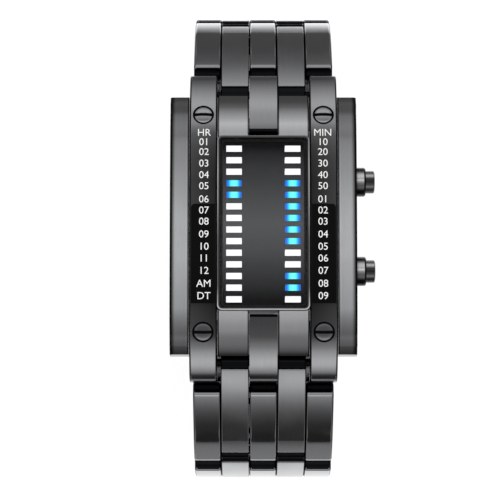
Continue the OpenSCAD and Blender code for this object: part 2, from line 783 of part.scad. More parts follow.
// Sprung bar in the tongue, drawn with its tips pushed in
module spring_bar() {
    color(PIN_COLOR) mirror([0, 1, 0]) at(pin_3) rod(-inner_x1 + 0.1, inner_x1 - 0.1, pin_d / 2);
}

// Blade next to the wrist: its barrels turn on the last pin at 12 o'clock
module clasp_base_blade() {
    strip = 2.5;
    color("#85888b") difference() {
        union() {
            both_sides() at(pin_3) barrel(inner_x0, inner_x1, barrel_r);
            translate([-inner_x1, blade_hinge[0] + knuckle_r + 0.3, base_z - blade_t / 2])
                cube([2 * inner_x1, pin_3[0] - blade_hinge[0] - knuckle_r - 0.3, blade_t]);
            translate([-strip, blade_hinge[0], base_z - blade_t / 2])
                cube([2 * strip, knuckle_r + 1, blade_t]);
            at(blade_hinge) rod(-strip, strip, knuckle_r);
        }
        both_sides() at(pin_3) rod(inner_x0 - 1, inner_x1 + 1, pin_d / 2 + running);
        translate([-inner_x0, pin_3[0] - link_h - 0.4, base_z - 5]) cube([2 * inner_x0, 20, 10]);
        at(blade_hinge) rod(-strip - 1, strip + 1, blade_pin_d / 2 + running);
    }
}

// Blade between the wrist blade and the cover
module clasp_mid_blade() {
    strip = 2.7;
    span = cover_hinge[0] - blade_hinge[0];
    knuckle_half = outer_x1 - cover_wall - 2.8;
    color("#85888b") difference() {
        union() {
            translate([-blade_w / 2, blade_hinge[0], mid_z - blade_t / 2]) cube([blade_w, span, blade_t]);
            at(cover_hinge) rod(-knuckle_half, knuckle_half, knuckle_r);
            both_sides() at(blade_hinge) rod(strip, blade_w / 2, knuckle_r);
        }
        translate([-strip, blade_hinge[0] - 5, base_z - 6]) cube([2 * strip, knuckle_r + 5.3, 12]);
        at(cover_hinge) rod(-outer_x1, outer_x1, blade_pin_d / 2 + fixed);
        both_sides() at(blade_hinge) rod(0, blade_w, blade_pin_d / 2 + fixed);
    }
}

module clasp_blade_pin() {
    color(PIN_COLOR) at(blade_hinge) rod(-blade_w / 2 + 0.1, blade_w / 2 - 0.1, blade_pin_d / 2);
}

module clasp_cover_pin() {
    color(PIN_COLOR) at(cover_hinge) rod(-outer_x1 + 0.2, outer_x1 - 0.2, blade_pin_d / 2);
}

// Outer shell of the clasp: wall, sides, end and the two lugs beside the tongue
module clasp_cover() {
    y0 = -pin_3[0] - barrel_r;
    color("#3d3e40") difference() {
        union() {
            translate([-outer_x1, y0, cover_out]) cube([band_w, cover_end - y0, cover_t]);
            both_sides() translate([outer_x1 - cover_wall, y0 + barrel_r, cover_out])
                cube([cover_wall, cover_end - y0 - barrel_r, cover_wall_top - cover_out]);
            translate([-outer_x1, cover_end - 0.8, cover_out]) cube([band_w, 0.8, base_z - 1 - cover_out]);
            both_sides() {
                mirror([0, 1, 0]) at(pin_3) rod(outer_x0, outer_x1, barrel_r);
                translate([outer_x0, y0, cover_out]) cube([column_w, 2 * barrel_r, base_z - cover_out]);
            }
        }
        // Opening for the tongue
        translate([-outer_x0, y0 - 1, cover_out - 1]) cube([2 * outer_x0, barrel_r + link_h + 1.6, 20]);
        both_sides() mirror([0, 1, 0]) at(pin_3) rod(outer_x0 - 1, outer_x0 + 2.6, pin_d / 2 + running);
        at(cover_hinge) rod(-30, 30, blade_pin_d / 2 + running);
        // Chamfers along the two long edges
        both_sides() translate([outer_x1, 0, cover_out]) rotate([0, 45, 0])
            cube([1.1, 200, 1.1], center = true);
    }
}

case_body();
rail_left();
rail_right();
centre_lug_12();
centre_lug_6();
lug_pins();
rail_screws();
display_frame();
glass_gasket();
glass();
led_mask();
hour_leds();
minute_leds();
circuit_board();
driver_chip();
quartz_can();
switch_contacts();
movement_holder();
battery();
battery_clip();
back_gasket();
case_back();
back_screws();
pusher_tubes();
pusher_seals();
spring_upper();
spring_lower();
pusher_upper();
pusher_lower();
link_12_1_outer();
link_12_1_inner();
link_12_1_centre();
link_12_1_pins();
link_12_2_outer();
link_12_2_inner();
link_12_2_centre();
link_12_2_pins();
link_12_3_outer();
link_12_3_inner();
link_12_3_centre();
link_12_3_pins();
link_6_1_outer();
link_6_1_inner();
link_6_1_centre();
link_6_1_pins();
link_6_2_outer();
link_6_2_inner();
link_6_2_centre();
link_6_2_pins();
link_6_3_outer();
link_6_3_inner();
link_6_3_centre();
link_6_3_pins();
clasp_base_blade();
clasp_mid_blade();
clasp_cover();
clasp_blade_pin();
clasp_cover_pin();
spring_bar();
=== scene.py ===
"""Digital watch with two columns of light bars on a dark steel link bracelet.

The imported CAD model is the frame: each piece here is modelled in millimetres in the same frame, rides on
its CAD body and stands for its CAD node. The studio is a clear sheet over white, under a tent of dark and
bright strips.
"""

from __future__ import annotations

import json
import logging
import math
from dataclasses import dataclass, field
from enum import Enum
from typing import Sequence

import bpy
from mathutils import Matrix, Vector


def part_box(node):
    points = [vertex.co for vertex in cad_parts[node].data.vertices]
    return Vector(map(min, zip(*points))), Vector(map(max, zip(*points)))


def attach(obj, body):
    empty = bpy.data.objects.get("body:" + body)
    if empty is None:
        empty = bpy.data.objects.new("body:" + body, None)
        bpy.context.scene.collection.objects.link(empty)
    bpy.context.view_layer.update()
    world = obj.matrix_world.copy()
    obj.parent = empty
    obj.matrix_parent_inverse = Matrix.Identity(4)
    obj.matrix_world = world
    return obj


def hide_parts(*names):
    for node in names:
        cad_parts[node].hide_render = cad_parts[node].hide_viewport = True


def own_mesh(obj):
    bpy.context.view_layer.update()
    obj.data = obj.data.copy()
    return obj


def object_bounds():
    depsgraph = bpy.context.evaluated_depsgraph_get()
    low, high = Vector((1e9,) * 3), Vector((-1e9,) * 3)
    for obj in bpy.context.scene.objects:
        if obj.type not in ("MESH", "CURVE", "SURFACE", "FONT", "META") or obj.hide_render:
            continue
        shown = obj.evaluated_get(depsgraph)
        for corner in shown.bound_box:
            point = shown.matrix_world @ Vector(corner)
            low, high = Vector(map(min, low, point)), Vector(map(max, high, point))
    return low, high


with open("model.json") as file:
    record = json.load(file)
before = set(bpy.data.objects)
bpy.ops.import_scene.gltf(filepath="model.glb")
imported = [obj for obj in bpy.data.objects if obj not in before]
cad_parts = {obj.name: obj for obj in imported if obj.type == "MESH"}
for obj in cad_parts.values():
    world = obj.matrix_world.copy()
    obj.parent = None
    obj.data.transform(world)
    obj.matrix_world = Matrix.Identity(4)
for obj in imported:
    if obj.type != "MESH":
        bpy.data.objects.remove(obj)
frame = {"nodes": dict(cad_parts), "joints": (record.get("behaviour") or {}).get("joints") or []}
CAD_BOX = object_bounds()

MM = 0.001
LOG = logging.getLogger("watch")
Point = tuple[float, float]
Outline = list[Point]
Color = tuple[float, float, float, float]

# Points closer than this are merged, in millimetres
WELD = 0.002
# Length of what is cut right across the watch
ACROSS = 60
# Middle of each column of light bars, to the left and right, and half the length of a bar
BAR_X = 5.5
BAR_HALF = 1.45
# The rails reach from this far to this far to the left and right
RAIL_INNER, RAIL_OUTER = 8.7, 13.8
# The pushers' middles lie this far towards 12 and 6 o'clock
PUSHER_Y = 8.5
# Height above everything on the watch, up to which a cutter reaches
ABOVE = 20
# Radius of the holes for the pins in the lugs and in the links' round ends
PIN_HOLE = 0.78
# Radius of the case's lugs, which the first links' noses clear
LUG_RADIUS = 3.8


# Frame


@dataclass(frozen=True)
class Span:
    """Box of a CAD node in millimetres."""

    low: Vector
    high: Vector

    @classmethod
    def of(cls, node: str) -> Span:
        """Reads a node's box from the frame."""
        low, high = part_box(node)
        return cls(low / MM, high / MM)


def pivot(joint: str) -> Point:
    """Place of a joint in the side view, as (towards 12 o'clock, up) in millimetres."""
    found = next(j for j in frame["joints"] if j["name"] == joint)
    return found["pos_m"][1] / MM, found["pos_m"][2] / MM


# Modelling


def make_active(piece: bpy.types.Object) -> None:
    """Leaves edit mode and selects one piece alone.

    Args:
        piece: Piece to select.
    """
    if bpy.context.object and bpy.context.object.mode != "OBJECT":
        bpy.ops.object.mode_set(mode="OBJECT")
    bpy.ops.object.select_all(action="DESELECT")
    piece.select_set(True)
    bpy.context.view_layer.objects.active = piece


def apply_modifier(piece: bpy.types.Object, kind: str, **settings: object) -> None:
    """Adds a modifier and applies it.

    Args:
        piece: Mesh object that gets the modifier.
        kind: Blender's name for the modifier's type.
        **settings: The modifier's own settings.
    """
    modifier = piece.modifiers.new(kind.title(), kind)
    for key, value in settings.items():
        setattr(modifier, key, value)
    make_active(piece)
    bpy.ops.object.modifier_apply(modifier=modifier.name)


def bevel(piece: bpy.types.Object, width: float, segments: int = 3, angle: float = 40) -> None:
    """Rounds every edge sharper than an angle.

    Args:
        piece: Mesh object to round.
        width: Width of the rounding in millimetres.
        segments: Number of faces across it.
        angle: Smallest angle between two faces, in degrees, that counts as an edge.
    """
    apply_modifier(piece, "BEVEL", width=width * MM, segments=segments, limit_method="ANGLE",
                   angle_limit=math.radians(angle), use_clamp_overlap=True, miter_outer="MITER_ARC")


def smooth(piece: bpy.types.Object, angle: float = 35) -> None:
    """Shades curved faces smooth and keeps the flat ones flat.

    Args:
        piece: Mesh object to shade.
        angle: Largest angle between two faces, in degrees, that is shaded smooth.
    """
    make_active(piece)
    bpy.ops.object.shade_smooth_by_angle(angle=math.radians(angle))
    apply_modifier(piece, "WEIGHTED_NORMAL", keep_sharp=True, weight=80)


def arc(centre: Point, radius: float, start: float, end: float, steps: int = 12) -> Outline:
    """Points along an arc in the side view.

    Args:
        centre: Centre of the arc, as (towards 12 o'clock, up).
        radius: Radius in millimetres.
        start: First angle in degrees, from straight up towards 12 o'clock.
        end: Last angle in degrees.
        steps: Number of steps between them.

    Returns:
        The points, both ends included.
    """
    angles = [math.radians(start + (end - start) * i / steps) for i in range(steps + 1)]
    return [(centre[0] + radius * math.sin(a), centre[1] + radius * math.cos(a)) for a in angles]


def prism(name: str, outline: Outline, x0: float, x1: float) -> bpy.types.Object:
    """Extrudes a side view across the watch.

    Args:
        name: Name of the piece.
        outline: Points of the side view in order, in millimetres.
        x0: First side, in millimetres.
        x1: Second side, in millimetres.

    Returns:
        The closed piece.
    """
    bpy.ops.object.select_all(action="DESELECT")
    bpy.ops.mesh.primitive_circle_add(vertices=len(outline), radius=MM, fill_type="NGON")
    piece = bpy.context.object
    piece.name = name
    for vertex, (y, z) in zip(piece.data.vertices, outline):
        vertex.co = (x0 * MM, y * MM, z * MM)
    bpy.ops.object.mode_set(mode="EDIT")
    bpy.ops.mesh.select_all(action="SELECT")
    bpy.ops.mesh.extrude_region_move(TRANSFORM_OT_translate={"value": ((x1 - x0) * MM, 0, 0)})
    bpy.ops.mesh.select_all(action="SELECT")
    bpy.ops.mesh.remove_doubles(threshold=WELD * MM)
    bpy.ops.mesh.normals_make_consistent(inside=False)
    bpy.ops.object.mode_set(mode="OBJECT")
    return piece


def eased(outline: Outline, reach: float, apart: float = 0.05, sharp: float = 30) -> Outline:
    """Outline without the smooth points close to its sharp corners, so that a wide rounding fits there.

    Args:
        outline: Points in order, in millimetres.
        reach: Distance that is kept free round each corner.
        apart: Distance under which two neighbours are one point.
        sharp: Smallest turn in degrees that makes a point a sharp corner.

    Returns:
        The points that stay.
    """
    points = [p for i, p in enumerate(outline) if math.dist(p, outline[i - 1]) > apart]
    turns = []
    for i, point in enumerate(points):
        before, after = points[i - 1], points[(i + 1) % len(points)]
        come = math.atan2(point[1] - before[1], point[0] - before[0])
        leave = math.atan2(after[1] - point[1], after[0] - point[0])
        turns.append(abs((leave - come + math.pi) % math.tau - math.pi))
    corners = [p for p, turn in zip(points, turns) if turn > math.radians(sharp)]
    return [p for p in points
            if p in corners or all(math.dist(p, corner) > reach for corner in corners)]


def slab(name: str, half_x: float, half_y: float, z0: float, z1: float,
         radius: float) -> bpy.types.Object:
    """Plate with rounded corners, centred on the dial's axis.

    Args:
        name: Name of the piece.
        half_x: Half width in millimetres.
        half_y: Half length in millimetres.
        z0: Height of the underside in millimetres.
        z1: Height of the top in millimetres.
        radius: Radius of the corners in millimetres.

    Returns:
        The closed piece.
    """
    bpy.ops.object.select_all(action="DESELECT")
    bpy.ops.mesh.primitive_plane_add(size=2 * MM, location=(0, 0, z0 * MM))
    piece = bpy.context.object
    piece.name = name
    bpy.ops.object.mode_set(mode="EDIT")
    bpy.ops.mesh.select_all(action="SELECT")
    bpy.ops.transform.resize(value=(half_x, half_y, 1))
    bpy.ops.mesh.bevel(offset=radius * MM, segments=8, affect="VERTICES")
    bpy.ops.mesh.select_all(action="SELECT")
    bpy.ops.mesh.extrude_region_move(TRANSFORM_OT_translate={"value": (0, 0, (z1 - z0) * MM)})
    bpy.ops.mesh.select_all(action="SELECT")
    bpy.ops.mesh.normals_make_consistent(inside=False)
    bpy.ops.object.mode_set(mode="OBJECT")
    settle(piece)
    return piece


def turned(name: str, profile: Sequence[Point], steps: int = 64) -> bpy.types.Object:
    """Turns a profile about the vertical axis.

    Args:
        name: Name of the piece.
        profile: Points as (radius, height) in millimetres; the first and last lie on the axis.
        steps: Number of faces round the piece.

    Returns:
        The closed piece.
    """
    bpy.ops.object.select_all(action="DESELECT")
    bpy.ops.mesh.primitive_circle_add(vertices=len(profile), radius=MM, fill_type="NOTHING")
    piece = bpy.context.object
    piece.name = name
    for vertex, (radius, height) in zip(piece.data.vertices, profile):
        vertex.co = (radius * MM, 0, height * MM)
    bpy.ops.object.mode_set(mode="EDIT")
    bpy.ops.mesh.select_all(action="SELECT")
    bpy.ops.mesh.spin(steps=steps, angle=math.tau, center=(0, 0, 0), axis=(0, 0, 1))
    bpy.ops.mesh.select_all(action="SELECT")
    bpy.ops.mesh.remove_doubles(threshold=WELD * MM)
    bpy.ops.mesh.dissolve_degenerate(threshold=WELD / 2 * MM)
    bpy.ops.mesh.select_all(action="SELECT")
    bpy.ops.mesh.normals_make_consistent(inside=False)
    bpy.ops.object.mode_set(mode="OBJECT")
    return piece


def settle(piece: bpy.types.Object, place: Matrix | None = None) -> None:
    """Moves a piece's place into its mesh.

    Args:
        piece: Object to settle.
        place: Where the piece goes, or nothing to keep its place.
    """
    if place is not None:
        piece.matrix_world = place
    make_active(piece)
    bpy.ops.object.transform_apply(location=True, rotation=True, scale=True)


def cut(piece: bpy.types.Object, cutter: bpy.types.Object) -> None:
    """Takes a cutter out of a piece and removes the cutter."""
    apply_modifier(piece, "BOOLEAN", operation="DIFFERENCE", solver="EXACT", object=cutter)
    bpy.data.objects.remove(cutter)


def bore(piece: bpy.types.Object, centre: Point, radius: float) -> None:
    """Bores a piece right across the watch.

    Args:
        piece: Piece to bore.
        centre: Axis of the bore, as (towards 12 o'clock, up) in millimetres.
        radius: Radius of the bore in millimetres.
    """
    bpy.ops.object.select_all(action="DESELECT")
    bpy.ops.mesh.primitive_cylinder_add(vertices=40, radius=radius * MM, depth=ACROSS * MM,
                                        location=(0, centre[0] * MM, centre[1] * MM),
                                        rotation=(0, math.pi / 2, 0))
    cut(piece, bpy.context.object)


def twin(piece: bpy.types.Object) -> None:
    """Adds the piece's mirror image on the other side of the watch."""
    apply_modifier(piece, "MIRROR", use_axis=(True, False, False), use_mirror_merge=False)


def copied(piece: bpy.types.Object, name: str) -> bpy.types.Object:
    """Copies a finished piece.

    Args:
        piece: Piece to copy.
        name: Name of the copy.

    Returns:
        The copy, with its own mesh.
    """
    copy = piece.copy()
    copy.data = piece.data.copy()
    copy.name = name
    bpy.context.scene.collection.objects.link(copy)
    return copy


def joined(name: str, pieces: Sequence[bpy.types.Object]) -> bpy.types.Object:
    """Joins pieces into one object.

    Args:
        name: Name of the object.
        pieces: Pieces to join.

    Returns:
        The first piece, which holds them all.
    """
    make_active(pieces[0])
    for piece in pieces:
        piece.select_set(True)
    bpy.ops.object.join()
    pieces[0].name = name
    return pieces[0]


def node_copy(node: str, name: str, rounding: float = 0.0) -> bpy.types.Object:
    """Copy of a CAD node with its loose triangles merged, its edges eased and its curves shaded smooth.

    Args:
        node: CAD node to copy.
        name: Name of the piece.
        rounding: Width of the eased edges in millimetres, or 0 for none.

    Returns:
        The piece.
    """
    piece = bpy.data.objects.new(name, frame["nodes"][node].data.copy())
    piece.data.materials.clear()
    bpy.context.scene.collection.objects.link(piece)
    make_active(piece)
    bpy.ops.object.mode_set(mode="EDIT")
    bpy.ops.mesh.select_all(action="SELECT")
    bpy.ops.mesh.remove_doubles(threshold=WELD / 2 * MM)
    bpy.ops.mesh.customdata_custom_splitnormals_clear()
    bpy.ops.mesh.dissolve_limited(angle_limit=math.radians(0.05))
    bpy.ops.object.mode_set(mode="OBJECT")
    if rounding:
        bevel(piece, rounding, 2)
    smooth(piece, 30)
    return piece


def shaded_edge(face: bpy.types.MeshPolygon, least: float = 0.5, most: float = 0.985) -> bool:
    """Whether a face is the steep half of a rounded side edge, which the photograph shows nearly black.

    Args:
        face: Face of a piece.
        least: Steepness at which the dark half begins, from 0 on top to 1 on the side.
        most: Steepness at which the flat side begins.

    Returns:
        Whether it is such a face.
    """
    return least < abs(face.normal.x) < most


def fit(piece: bpy.types.Object, body: str, finish: Finish | Sequence[Finish], slot: str,
        *nodes: str) -> None:
    """Gives a finished piece its materials and its body.

    Args:
        piece: Finished piece.
        body: CAD body that it rides on.
        finish: Its finish, or one for each of its material indices.
        slot: The record's material slot; not used.
        *nodes: CAD nodes that it stands for.
    """
    for item in [finish] if isinstance(finish, Finish) else finish:
        piece.data.materials.append(item.get())
    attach(piece, body)
    if nodes:
        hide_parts(*nodes)
    LOG.info("%s: %d faces on %s", piece.name, len(piece.data.polygons), body)


# Finishes


# Noise lies between these two values nearly everywhere
NOISE_LOW, NOISE_HIGH = 0.3, 0.7
# Depth that full relief would have, in millimetres
FINE_RELIEF = 0.02
# Painted light and shade is given up to this far along the watch, and up to this far to its left and right
PAINTED_REACH, PAINTED_SIDE = 30.0, 20.0


def linear(color: str) -> Color:
    """Linear RGBA of an sRGB hex colour."""
    channels = [int(color[i:i + 2], 16) / 255 for i in (1, 3, 5)]
    return (*[c / 12.92 if c <= 0.04045 else ((c + 0.055) / 1.055) ** 2.4 for c in channels], 1.0)


def add_node(tree: bpy.types.NodeTree, kind: str, settings: dict | None = None,
             links: dict | None = None) -> bpy.types.Node:
    """Adds one shader node.

    Args:
        tree: Node tree that gets it.
        kind: Blender's type name of the node.
        settings: The node's own settings and its sockets' constants; "stops" holds a ramp's stops.
        links: Output sockets to link, by the name or number of the input socket. A node stands for its
            first output.

    Returns:
        The new node.
    """
    node = tree.nodes.new(kind)
    for key, value in (settings or {}).items():
        if key == "stops":
            while len(node.color_ramp.elements) < len(value):
                node.color_ramp.elements.new(1)
            for stop, (place, color) in zip(node.color_ramp.elements, value):
                stop.position, stop.color = place, color
        elif isinstance(key, str) and hasattr(node, key):
            setattr(node, key, value)
        else:
            node.inputs[key].default_value = value
    for key, source in (links or {}).items():
        socket = source.outputs[0] if isinstance(source, bpy.types.Node) else source
        tree.links.new(socket, node.inputs[key])
    return node


def blank(name: str) -> tuple[bpy.types.Material, bpy.types.NodeTree, bpy.types.NodeSocket]:
    """Starts a material.

    Args:
        name: Name of the material.

    Returns:
        The material, its node tree and the Object coordinates in it.
    """
    material = bpy.data.materials.new(name)
    material.use_nodes = True
    tree = material.node_tree
    tree.nodes.clear()
    return material, tree, add_node(tree, "ShaderNodeTexCoord").outputs["Object"]


def grey(level: float) -> Color:
    """Opaque grey of a linear level."""
    return (level, level, level, 1.0)


def shades(tint: str, darker: float, lighter: float) -> list[tuple[float, Color]]:
    """Stops of a ramp through which noise varies a colour.

    Args:
        tint: The colour, as sRGB hex.
        darker: Share of it where the noise is low.
        lighter: Share of it where the noise is high.

    Returns:
        The two stops.
    """
    red, green, blue, _ = linear(tint)
    return [(place, (red * share, green * share, blue * share, 1.0))
            for place, share in ((NOISE_LOW, darker), (NOISE_HIGH, lighter))]


def painted_light_across(tree: bpy.types.NodeTree, place: bpy.types.NodeSocket,
                stops: Sequence[Point]) -> bpy.types.Node:
    """Painted light and shade: the share of a colour that is left at each distance from the middle of the
    watch.

    Args:
        tree: Node tree that gets the nodes.
        place: Object coordinates.
        stops: Pairs of a distance to the left or right in millimetres and the share left there.

    Returns:
        The node that gives the share.
    """
    split = add_node(tree, "ShaderNodeSeparateXYZ", links={"Vector": place})
    side = add_node(tree, "ShaderNodeMath", {"operation": "ABSOLUTE"}, {0: split.outputs["X"]})
    across = add_node(tree, "ShaderNodeMapRange", {"From Min": 0.0, "From Max": PAINTED_SIDE * MM},
                      {"Value": side})
    marks = [(x / PAINTED_SIDE, grey(share)) for x, share in stops]
    return add_node(tree, "ShaderNodeValToRGB", {"stops": marks}, {"Fac": across})


def painted_light_along(tree: bpy.types.NodeTree, place: bpy.types.NodeSocket, stops: Sequence[Point],
               inward: float = 0.0) -> bpy.types.Node:
    """Painted light and shade: the share of a colour that is left at each place along the watch.

    Args:
        tree: Node tree that gets the nodes.
        place: Object coordinates.
        stops: Pairs of a distance towards 12 o'clock in millimetres and the share left there.
        inward: How much darker still the dark stretch is beside the glass than at the rail's outer edge.

    Returns:
        The node that gives the share.
    """
    split = add_node(tree, "ShaderNodeSeparateXYZ", links={"Vector": place})
    along = add_node(tree, "ShaderNodeMapRange", {"From Min": -PAINTED_REACH * MM, "From Max": PAINTED_REACH * MM},
                     {"Value": split.outputs["Y"]})
    marks = [((y + PAINTED_REACH) / (2 * PAINTED_REACH), grey(share)) for y, share in stops]
    share = add_node(tree, "ShaderNodeValToRGB", {"stops": marks}, {"Fac": along})
    if not inward:
        return share
    side = add_node(tree, "ShaderNodeMath", {"operation": "ABSOLUTE"}, {0: split.outputs["X"]})
    near = add_node(tree, "ShaderNodeMapRange",
                    {"From Min": RAIL_INNER * MM, "From Max": RAIL_OUTER * MM, "To Min": inward,
                     "To Max": 0.0}, {"Value": side})
    dark = add_node(tree, "ShaderNodeMath", {"operation": "SUBTRACT", 0: 1.0}, {1: share})
    loss = add_node(tree, "ShaderNodeMath", {"operation": "MULTIPLY"}, {0: dark, 1: near})
    left = add_node(tree, "ShaderNodeMath", {"operation": "SUBTRACT", 0: 1.0}, {1: loss})
    return add_node(tree, "ShaderNodeMath", {"operation": "MULTIPLY"}, {0: share, 1: left})


@dataclass(frozen=True)
class Metal:
    """Solid or plated metal with fine machining lines, a little handling wear and optional painted light and
    shade.
    """

    name: str
    tint: str
    roughness: float
    # How far the roughness wanders between clean and handled patches
    wander: float = 0.05
    # Size of one machining line along X, Y and Z in millimetres
    grain: tuple[float, float, float] = (0.12, 3.0, 3.0)
    # Height of the lines as the bump node's strength
    relief: float = 0.015
    # Size of one handled patch in millimetres
    patch: float = 6.0
    # Painted light and shade along the watch, and extra painted shade towards the glass
    painted_light: tuple[Point, ...] = ()
    inward: float = 0.0
    # Painted light and shade by the distance from the middle of the watch
    across: tuple[Point, ...] = ()

    def make(self) -> bpy.types.Material:
        """Builds the material.

        Returns:
            The material.
        """
        material, tree, place = blank(self.name)
        lines = add_node(tree, "ShaderNodeMapping", {"Scale": [1 / (size * MM) for size in self.grain]},
                         {"Vector": place})
        grain = add_node(tree, "ShaderNodeTexNoise", {"Scale": 1.0, "Detail": 2.0}, {"Vector": lines})
        patches = add_node(tree, "ShaderNodeTexNoise", {"Scale": 1 / (self.patch * MM), "Detail": 3.0},
                           {"Vector": place})
        color = add_node(tree, "ShaderNodeValToRGB", {"stops": shades(self.tint, 0.97, 1.03)}, {"Fac": grain})
        shares = []
        if self.painted_light:
            shares.append(painted_light_along(tree, place, self.painted_light, self.inward))
        if self.across:
            shares.append(painted_light_across(tree, place, self.across))
        for share in shares:
            color = add_node(tree, "ShaderNodeVectorMath", {"operation": "MULTIPLY"}, {0: color, 1: share})
        rough = add_node(tree, "ShaderNodeMapRange",
                         {"From Min": NOISE_LOW, "From Max": NOISE_HIGH,
                          "To Min": self.roughness - self.wander / 2, "To Max": self.roughness + self.wander},
                         {"Value": patches})
        bump = add_node(tree, "ShaderNodeBump", {"Strength": self.relief, "Distance": FINE_RELIEF * MM},
                        {"Height": grain})
        shader = add_node(tree, "ShaderNodeBsdfPrincipled", {"Metallic": 1.0},
                          {"Base Color": color, "Roughness": rough, "Normal": bump})
        add_node(tree, "ShaderNodeOutputMaterial", links={"Surface": shader})
        return material


@dataclass(frozen=True)
class Moulded:
    """Plastic, rubber, lacquer or ink with a fine even texture."""

    name: str
    tint: str
    roughness: float
    # Size of one speck of the texture in millimetres
    speck: float = 0.15
    relief: float = 0.05
    specular: float = 0.5
    ior: float = 1.5

    def make(self) -> bpy.types.Material:
        """Builds the material.

        Returns:
            The material.
        """
        material, tree, place = blank(self.name)
        specks = add_node(tree, "ShaderNodeTexNoise", {"Scale": 1 / (self.speck * MM), "Detail": 2.0},
                          {"Vector": place})
        color = add_node(tree, "ShaderNodeValToRGB", {"stops": shades(self.tint, 0.9, 1.08)}, {"Fac": specks})
        rough = add_node(tree, "ShaderNodeMapRange",
                         {"From Min": NOISE_LOW, "From Max": NOISE_HIGH, "To Min": self.roughness * 0.9,
                          "To Max": self.roughness * 1.1}, {"Value": specks})
        bump = add_node(tree, "ShaderNodeBump", {"Strength": self.relief, "Distance": FINE_RELIEF * MM},
                        {"Height": specks})
        shader = add_node(tree, "ShaderNodeBsdfPrincipled",
                          {"Specular IOR Level": self.specular, "IOR": self.ior},
                          {"Base Color": color, "Roughness": rough, "Normal": bump})
        add_node(tree, "ShaderNodeOutputMaterial", links={"Surface": shader})
        return material


@dataclass(frozen=True)
class SmokedGlass:
    """Mineral glass with a thin grey coat on its top: most light comes through, a little is mirrored."""

    name: str = "smoked_mineral_glass_with_mirror_coat"
    tint: str = "#535456"
    # Share of the light that the coat stops or mirrors
    alpha: float = 0.16
    roughness: float = 0.05
    # Size of the coat's faint unevenness in millimetres
    patch: float = 5.0

    def make(self) -> bpy.types.Material:
        """Builds the material.

        Returns:
            The material.
        """
        material, tree, place = blank(self.name)
        coat = add_node(tree, "ShaderNodeTexNoise", {"Scale": 1 / (self.patch * MM), "Detail": 2.0},
                        {"Vector": place})
        color = add_node(tree, "ShaderNodeValToRGB", {"stops": shades(self.tint, 0.96, 1.04)}, {"Fac": coat})
        shader = add_node(tree, "ShaderNodeBsdfPrincipled",
                          {"Metallic": 1.0, "Roughness": self.roughness, "Alpha": self.alpha},
                          {"Base Color": color})
        add_node(tree, "ShaderNodeOutputMaterial", links={"Surface": shader})
        return material


@dataclass(frozen=True)
class LightBar:
    """Diode window: unlit, it is painted with a white glow; lit, it glows blue, palest in the middle of the
    bar.
    """

    name: str
    # Colours from the middle of the bar, 0, to its ends, 1
    colors: tuple[tuple[float, str], ...]
    strength: float

    def make(self) -> bpy.types.Material:
        """Builds the material.

        Returns:
            The material.
        """
        material, tree, place = blank(self.name)
        split = add_node(tree, "ShaderNodeSeparateXYZ", links={"Vector": place})
        side = add_node(tree, "ShaderNodeMath", {"operation": "ABSOLUTE"}, {0: split.outputs["X"]})
        off = add_node(tree, "ShaderNodeMath", {"operation": "SUBTRACT", 1: BAR_X * MM}, {0: side})
        away = add_node(tree, "ShaderNodeMath", {"operation": "ABSOLUTE"}, {0: off})
        share = add_node(tree, "ShaderNodeMath", {"operation": "DIVIDE", 1: BAR_HALF * MM}, {0: away})
        stops = [(at, linear(color)) for at, color in self.colors]
        color = add_node(tree, "ShaderNodeValToRGB", {"stops": stops}, {"Fac": share})
        shader = add_node(tree, "ShaderNodeBsdfPrincipled",
                          {"Base Color": grey(0.02), "Roughness": 0.3, "Emission Strength": self.strength},
                          {"Emission Color": color})
        add_node(tree, "ShaderNodeOutputMaterial", links={"Surface": shader})
        return material


# Painted reflection on the plated steel: bright on the rails' ends and nearly black between the screws, as
# the photograph shows it
RAIL_PAINTED_LIGHT = ((-24, 1.0), (-22.4, 0.8), (-21.3, 0.45), (-19, 0.3), (-16.8, 0.2), (-14.6, 0.09), (0, 0.13),
             (8, 0.17), (12, 0.27), (14.4, 0.38), (16.7, 0.6), (18.9, 0.95))
# Painted reflection on the side plates: evenly grey, darkening over their last 7 to 9 mm
PLATE_PAINTED_LIGHT = ((-24, 0.08), (-22.4, 0.3), (-21.3, 0.54), (-19, 0.8), (-16.8, 1.0), (15, 1.0), (17.5, 0.8),
              (20, 0.5), (22.2, 0.3), (24, 0.15))
# Painted shade and highlight across their top: dark into the rail and over the outer edge, with a fine bright
# line beside the rail
PLATE_PAINTED_ACROSS = ((13.9, 0.03), (14.1, 0.06), (14.2, 0.5), (14.35, 1.0), (14.55, 0.86), (16.4, 0.9),
                (16.63, 0.78), (16.8, 0.5), (17.0, 0.23), (17.2, 0.07), (17.5, 0.06))
# Painted reflection on the four end blocks: bright beside the display frame and dark at the bracelet
BLOCK_PAINTED_LIGHT = ((-24.4, 0.04), (-23.5, 0.2), (-22.4, 0.4), (-21.3, 0.55), (-20.2, 0.8), (-18, 0.9), (18.9, 1.0),
              (20, 0.68), (21.1, 0.42), (22.2, 0.18), (23.3, 0.1))
# Painted highlight on one pusher, by the distance from its middle: the collar is brightest there and the cap
# a little above
COLLAR_HIGHLIGHT = ((-2.6, 0.012), (-2.0, 0.03), (-1.4, 0.12), (-0.7, 0.35), (0.5, 1.0), (1.3, 0.42), (1.9, 0.13),
               (2.7, 0.03))
CAP_HIGHLIGHT = ((-2.1, 0.05), (-1.5, 0.26), (-0.9, 0.2), (-0.2, 0.02), (0.4, 0.1), (1.0, 0.8), (1.5, 0.6),
            (2.1, 0.05))
# Painted highlight on the rim of the display frame: bright beside the upper rows and at its lower end
RIM_HIGHLIGHT = ((-16.6, 1.0), (-15.6, 0.9), (-12, 0.2), (-3, 0.25), (3, 0.6), (10, 0.8), (15.6, 0.45),
            (16.6, 0.17))
